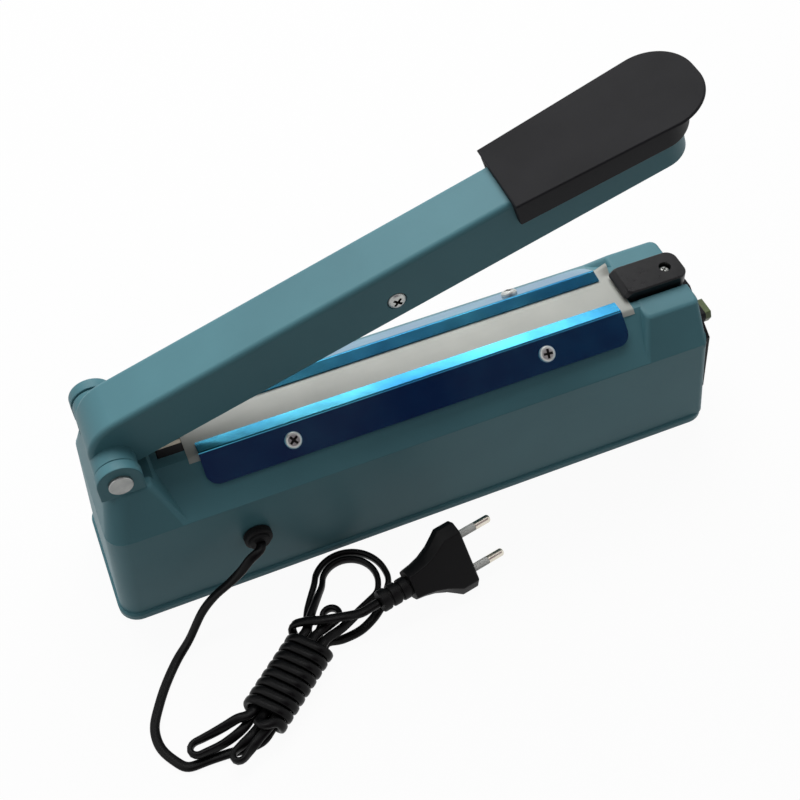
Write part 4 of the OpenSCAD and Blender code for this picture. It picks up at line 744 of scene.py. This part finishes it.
# Switch cap: a slab with a round end and a sloping nose, hollow below, with a stem over the switch
def make_cap():
    cap = block("switch_cap_moulding", (108.2, -9.2, 82), (143.3, 9.2, 88.5))
    round_edges(cap, 5.5, 10, lambda m: m.x > 143 and abs(m.y) > 9)
    clean(cap, 0.3)
    combine(cap, "DIFFERENCE", block("bed", (100, -20, 70), (110.9, 20, 85.35)))
    slice_off(cap, (110.4, 0, 88.5), (-1, 0, 1))
    clean(cap)
    round_edges(cap, 2.0, 3, lambda m: m.x < 110.5 and abs(m.y) > 9 and m.z > 85.4)
    round_edges(cap, 1.5, 4, lambda m: m.z > 85.5, least=35)
    hollow = block("hollow", (118, -7.2, 70), (133, 7.2, 85.35))
    combine(hollow, "UNION", rod("round", (133, 0, 70), (133, 0, 85.35), 7.2))
    combine(cap, "DIFFERENCE", hollow)
    combine(cap, "UNION", rod("stem", (SWITCH_X, 0, 73.8), (SWITCH_X, 0, 86), 2.5))
    seat = rod("seat", (CAP_SCREW_X, 0, 85.2), (CAP_SCREW_X, 0, 95), 3.0)
    hole = rod("hole", (CAP_SCREW_X, 0, 70), (CAP_SCREW_X, 0, 95), 1.8)
    combine(cap, "DIFFERENCE", seat, hole)
    return put_on(cap, "cap", "black_plastic", cap_abs, "switch_cap")


# Clamp strips: a flat sheet with two rounded corners, folded along the edge of the roof
STRIP_L, STRIP_W, STRIP_X, STRIP_FLANGE = 211.4, 15.6, -2.5, 6.4
DIP = math.radians(5)


def make_strips():
    bpy.ops.object.select_all(action="DESELECT")
    bpy.ops.mesh.primitive_plane_add(size=1, location=Vector((STRIP_X, -STRIP_W / 2, 0)) * MM)
    strip = bpy.context.object
    strip.name = "clamp_strip_near"
    strip.scale = (STRIP_L * MM, STRIP_W * MM, 1)
    bpy.ops.object.transform_apply(location=True, rotation=True, scale=True)
    open_edit(strip, "VERT", lambda v: v.co.y < -0.01)
    bpy.ops.mesh.bevel(offset=6.2 * MM, segments=8, affect="VERTICES")
    close_edit()
    open_edit(strip, "EDGE", lambda e: middle(e).y > -0.1)
    flange = Vector((0, math.cos(ROOF + DIP), -math.sin(ROOF + DIP))) * STRIP_FLANGE * MM
    bpy.ops.mesh.extrude_region_move(TRANSFORM_OT_translate={"value": flange})
    close_edit()
    round_edges(strip, 0.5, 3, lambda m: abs(m.y) < 0.1)
    pick_out(strip)
    wall = strip.modifiers.new("wall", "SOLIDIFY")
    wall.thickness = MM
    wall.offset = 1.0
    wall.use_even_offset = True
    bpy.ops.object.modifier_apply(modifier=wall.name)
    strip.data.transform(moved(0, -14.49, 84.0) @ Matrix.Rotation(ROOF, 4, "X"))
    far = twin(strip, "clamp_strip_far")
    far.data.transform(Matrix.Scale(-1, 4, (0, 1, 0)))
    far.data.flip_normals()
    put_on(strip, "base", "blue_strip", blue_sheet, "front_clamp_strip")
    put_on(far, "base", "blue_strip", blue_sheet, "rear_clamp_strip")


# Cloth over the bed: flat on the roof, turned down at both sides under the strips, one corner curled up
CLOTH_LOW, CLOTH_HIGH, CLOTH_HALF, CLOTH_DROP = -113.3, 110.0, 14.4, 2.6


def make_cloth():
    bpy.ops.object.select_all(action="DESELECT")
    bpy.ops.mesh.primitive_grid_add(x_subdivisions=150, y_subdivisions=40, size=2)
    cloth = bpy.context.object
    cloth.name = "ptfe_cloth_sheet"
    reach = CLOTH_HALF + CLOTH_DROP
    for v in cloth.data.vertices:
        x = CLOTH_LOW + (CLOTH_HIGH - CLOTH_LOW) * (v.co.x + 1) / 2
        w = reach * v.co.y
        over = max(0.0, abs(w) - CLOTH_HALF)
        y = math.copysign(min(abs(w), CLOTH_HALF) + over * math.cos(ROOF), w)
        z = 83.36 - over * math.sin(ROOF) + 0.05 * math.sin(x / 9) * math.cos(w / 5)
        curl = max(0.0, (x - 103.6) / 6.4) * max(0.0, (w - 9.9) / 7.1)
        v.co = Vector((x, y - 1.2 * curl, z + 5.2 * curl)) * MM
    pick_out(cloth)
    wall = cloth.modifiers.new("wall", "SOLIDIFY")
    wall.thickness = 0.2 * MM
    wall.offset = 0.0
    bpy.ops.object.modifier_apply(modifier=wall.name)
    put_on(cloth, "base", "ptfe_cloth", ptfe_glass, "ptfe_cloth", angle=60)


# Screws: one pan head with a cross recess, copied to every seat
def make_screw():
    screw = rod("screw", (0, 0, -0.3), (0, 0, 0.27), 0.5, 40)
    round_edges(screw, 0.2, 5, lambda m: m.z > 0.26)
    for turn in (0, 90):
        slot = block("slot", (-0.29, -0.075, 0.05), (0.29, 0.075, 0.5))
        slot.data.transform(turned("Z", turn))
        combine(screw, "DIFFERENCE", slot)
    return screw


def darken_recess(screw, pattern):
    """The faces that the cross cut, inside the head, get a dark finish of painted shade."""
    screw.data.materials.append(recess_painted_shade)
    for face, drawn in zip(screw.data.polygons, pattern.data.polygons):
        low = drawn.center.z < 0.24 * MM and drawn.center.to_2d().length < 0.32 * MM
        face.material_index = 1 if low and drawn.center.z > 0 else 0


def make_screws():
    """Each row is a CAD node, the body that carries it, a head's diameter and its seats."""
    pitch = math.degrees(ROOF)
    sides = (-1, 1)
    strip_seats = [moved(x, s * 21.05, 80.05) @ turned("X", -s * pitch) for s in sides for x in (-66, 61)]
    arm_seats = [ARM @ moved(ARM_SEAT_X, y, ARM_SEAT_Z) @ turned("X", math.copysign(90, -y))
                 for y in ARM_SEATS]
    panel_seats = [moved(panel_face(z) - 1, y, z) @ turned("Y", 90) for y, z in PANEL_SEATS]
    base_seats = [moved(MID + s * BASE_SCREW[0], t * BASE_SCREW[1], 3) @ turned("X", 180)
                  for s in sides for t in sides]
    pattern = make_screw()
    rows = (("strip_screws", "base", 8.0, strip_seats), ("arm_screws", "arm", 8.4, arm_seats),
            ("cap_screw", "base", 4.6, [moved(CAP_SCREW_X, 0, 85.4)]),
            ("panel_screws", "base", 6.0, panel_seats), ("base_screws", "base", 6.0, base_seats))
    for node, body, head, seats in rows:
        for i, seat in enumerate(seats):
            screw = twin(pattern, f"{node}_{i + 1}")
            place = seat @ turned("Z", 35 + 50 * i) @ Matrix.Scale(head, 4)
            put_on(screw, body, "zinc_steel", screw_zinc, node, place=place)
            darken_recess(screw, pattern)
    bpy.data.objects.remove(pattern, do_unlink=True)


# Plug: a flat head that flares from the neck, with chamfered edges, and a ribbed sleeve round the cord
def make_plug():
    plug = block("plug_moulding", (-9, -PLUG_HALF, -PLUG_THICK), (0, PLUG_HALF, PLUG_THICK))
    round_edges(plug, 4.6, 1, lambda m: abs(m.y) > 17 and abs(m.z) > 6)
    half = PLUG_HALF
    steps = ((3.5, 15.0, 1), (4, 12.1, 1), (5.5, 9.5, 0.98), (5, 8.2, 0.95), (5, 7.5, 0.94))
    for back, width, thick in steps:
        push_face(plug, lambda f: f.normal.x < -0.9, (-back, 0, 0), (1, width / half, thick))
        half = width
    round_edges(plug, 0.7, 2, lambda m: m.x > -0.1 or m.x < -31.9)
    round_edges(plug, 0.6, 2, lambda m: m.x > -31.5, least=30)
    ribs = [rod("rib", (s, 0, 0), (s + 4.4, 0, 0), 5.4) for s in (-48, -42.5, -37)]
    for rib in ribs:
        round_edges(rib, 0.7, 2, lambda m: True, least=40)
    combine(plug, "UNION", rod("core", (-47.5, 0, 0), (-31, 0, 0), 4.5), *ribs)
    return put_on(plug, "base", "black_rubber", plug_pvc, "plug_body", place=PLUG)


def make_pins():
    """A pin with a round end and a sleeve at its root, and their twins."""
    y = PRONG_PITCH / 2
    pin = rod("plug_pin_1", (10, y, 0), (19, y, 0), PRONG_R, 32)
    round_edges(pin, 1.4, 5, lambda m: m.x > 18.9)
    combine(pin, "UNION", rod("core", (-7.5, y, 0), (10.5, y, 0), 1.6, 32))
    sleeve = rod("pin_sleeve_1", (0, y, 0), (10, y, 0), PRONG_R, 32)
    round_edges(sleeve, 0.25, 2, lambda m: m.x > 9.9)
    combine(sleeve, "DIFFERENCE", rod("bore", (-1, y, 0), (11, y, 0), 1.62, 32))
    made = []
    rows = ((pin, "plug_pin_2", "nickel_pins", nickel_brass, "plug_pins"),
            (sleeve, "pin_sleeve_2", "grey_plastic", grey_nylon, "pin_sleeves"))
    for piece, name, slot, mat, node in rows:
        other = twin(piece, name)
        made.append(put_on(piece, "base", slot, mat, node, place=PLUG))
        made.append(put_on(other, "base", slot, mat, node, place=PLUG @ moved(0, -PRONG_PITCH, 0)))
    return made


# Grommet: a round boss on the wall with a soft rim and a short collar round the cord
def make_grommet():
    x, z = GROMMET[0], GROMMET[2]
    boss = rod("cord_grommet_moulding", (x, -39.9, z), (x, -36.1, z), 6.8)
    round_edges(boss, 1.2, 3, lambda m: m.y < -39.8)
    collar = rod("collar", (x, -41.5, z), (x, -38, z), 5.2)
    round_edges(collar, 0.8, 3, lambda m: m.y < -41.4)
    combine(boss, "UNION", collar, rod("neck", (x, -36.5, z), (x, -30, z), 4.4))
    return put_on(boss, "base", "black_rubber", foot_rubber, "cord_grommet")


# Springs: wound wire, swept as the cord is
def make_springs():
    coil, first, last = 5.2, 116.3, 1689.0

    def ring(a, ahead):
        c, s = math.cos(math.radians(a)), math.sin(math.radians(a))
        at_coil = Vector((coil * c, 2 * (a / 360 - 2.5), coil * s)) + ahead * Vector((-s, 0, c))
        return (Vector(PIN) + at_coil, Vector((0, 1, 0)))

    steps = 120
    path = [ring(first, -15), ring(first, -7.5)]
    path += [ring(first + (last - first) * k / steps, 0) for k in range(steps + 1)]
    path += [ring(last, 6), ring(last, 12)]
    hinge_spring = sweep("return_spring_wire", path, oval(1.4, 1.4, 10, 1.0))
    dress(hinge_spring, spring_steel)
    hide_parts("return_spring")
    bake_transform(hinge_spring)

    low, high = 80.3, 84.85
    path = []
    for k in range(73):
        a = 6 * math.pi * k / 72
        place = Vector((SWITCH_X + 4.1 * math.cos(a), 4.1 * math.sin(a), low + (high - low) * k / 72))
        path.append((place, Vector(UP)))
    cap_coil = sweep("cap_spring_wire", path, oval(0.8, 0.8, 8, 1.0))
    dress(cap_coil, spring_steel)
    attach(cap_coil, "base")
    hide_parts("cap_spring")
    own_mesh(cap_coil)


# Pieces that keep their solids: soft edges, so that they catch the light
def soften(node, width):
    piece = cad[node]
    weld = piece.modifiers.new("weld", "WELD")
    weld.merge_threshold = 0.01 * MM
    edge = piece.modifiers.new("edge", "BEVEL")
    edge.width = width * MM
    edge.segments = 3
    edge.limit_method = "ANGLE"
    edge.angle_limit = math.radians(40)


make_body()
make_base_plate()
make_panel()
make_knob()
make_hinge_pin()
make_arm()
make_grip()
make_cap()
make_strips()
make_cloth()
make_screws()
plug = make_plug()
pins = make_pins()
make_grommet()
make_springs()
for name, width in (("strip_holder", 0.3), ("rubber_feet", 0.5)):
    soften(name, width)


# Table, light and background
def ray_share(owner):
    """1 for what the camera sees directly, in metal or through glass, and 0 for what lights the object."""
    ray = add(owner, "LightPath")
    seen = add(owner, "Math", {"operation": "MAXIMUM"},
               {0: (ray, "Is Camera Ray"), 1: (ray, "Is Glossy Ray")})
    return add(owner, "Math", {"operation": "MAXIMUM"},
               {0: (seen, "Value"), 1: (ray, "Is Transmission Ray")})


def set_table():
    bpy.ops.object.select_all(action="DESELECT")
    bpy.ops.mesh.primitive_plane_add(size=40.0)
    table = bpy.context.object
    table.name = "table"
    paper = bpy.data.materials.new("paper_white")
    paper.use_nodes = True
    paper.node_tree.nodes.clear()
    dim = add(paper, "BsdfDiffuse", {"Color": ink("#8a8a8a")})
    matt = add(paper, "BsdfDiffuse", {"Color": ink("#e4e4e4")})
    white = add(paper, "Emission", {"Color": (1, 1, 1, 1), "Strength": 1.0})
    bright = add(paper, "MixShader", {"Fac": 0.95}, {1: (matt, "BSDF"), 2: (white, "Emission")})
    both = add(paper, "MixShader", links={"Fac": (ray_share(paper), "Value"), 1: (dim, "BSDF"),
                                          2: (bright, "Shader")})
    add(paper, "OutputMaterial", links={"Surface": (both, "Shader")})
    dress(table, paper)


def set_card(name, place, size, code):
    """A dark card that only shows in reflections: a painted reflection of the unlit room behind the camera.
    """
    bpy.ops.object.select_all(action="DESELECT")
    turn = (Vector((0, 0, 0.08)) - Vector(place)).to_track_quat("Z", "Y").to_euler()
    bpy.ops.mesh.primitive_plane_add(size=1, location=place, rotation=turn)
    card = bpy.context.object
    card.name = name
    card.scale = (size[0], size[1], 1)
    # Its dark glow is painted reflection and lights nothing.
    dark_reflection = bpy.data.materials.new("painted_dark_reflection")
    dark_reflection.use_nodes = True
    dark_reflection.node_tree.nodes.clear()
    glow = add(dark_reflection, "Emission", {"Color": ink(code), "Strength": 1.0})
    add(dark_reflection, "OutputMaterial", links={"Surface": (glow, "Emission")})
    dress(card, dark_reflection)
    card.visible_camera = False
    card.visible_diffuse = False
    card.visible_shadow = False
    card.visible_transmission = False


def set_lamp(name, place, size, power):
    data = bpy.data.lights.new(name, "AREA")
    data.shape = "DISK"
    data.size = size
    data.energy = power
    lamp = bpy.data.objects.new(name, data)
    bpy.context.scene.collection.objects.link(lamp)
    lamp.location = place
    lamp.rotation_euler = (Vector((0, 0, 0.06)) - Vector(place)).to_track_quat("-Z", "Y").to_euler()


def set_world():
    world = bpy.data.worlds.new("studio")
    bpy.context.scene.world = world
    world.use_nodes = True
    world.node_tree.nodes.clear()
    room = add(world, "Background", {"Color": (1, 1, 1, 1), "Strength": 0.2})
    white = add(world, "Background", {"Color": (1, 1, 1, 1), "Strength": 1.0})
    both = add(world, "MixShader", links={"Fac": (ray_share(world), "Value"), 1: (room, "Background"),
                                          2: (white, "Background")})
    add(world, "OutputWorld", links={"Surface": (both, "Shader")})


set_table()
set_world()
# Two dark cards paint dark reflections into the glossy finishes, one behind the camera and one over the
# back.
set_card("card_behind_camera", (0.08, -1.05, 1.2), (1.75, 1.5), "#553048")
set_card("card_over_back", (0.16, 0.42, 0.86), (1.0, 0.56), "#2a2732")
set_lamp("softbox_above", (0.1, 0.6, 1.1), 1.1, 15.0)
set_lamp("softbox_end", (-0.9, 0.1, 0.7), 0.6, 1.2)
bpy.context.scene.view_settings.view_transform = "Standard"
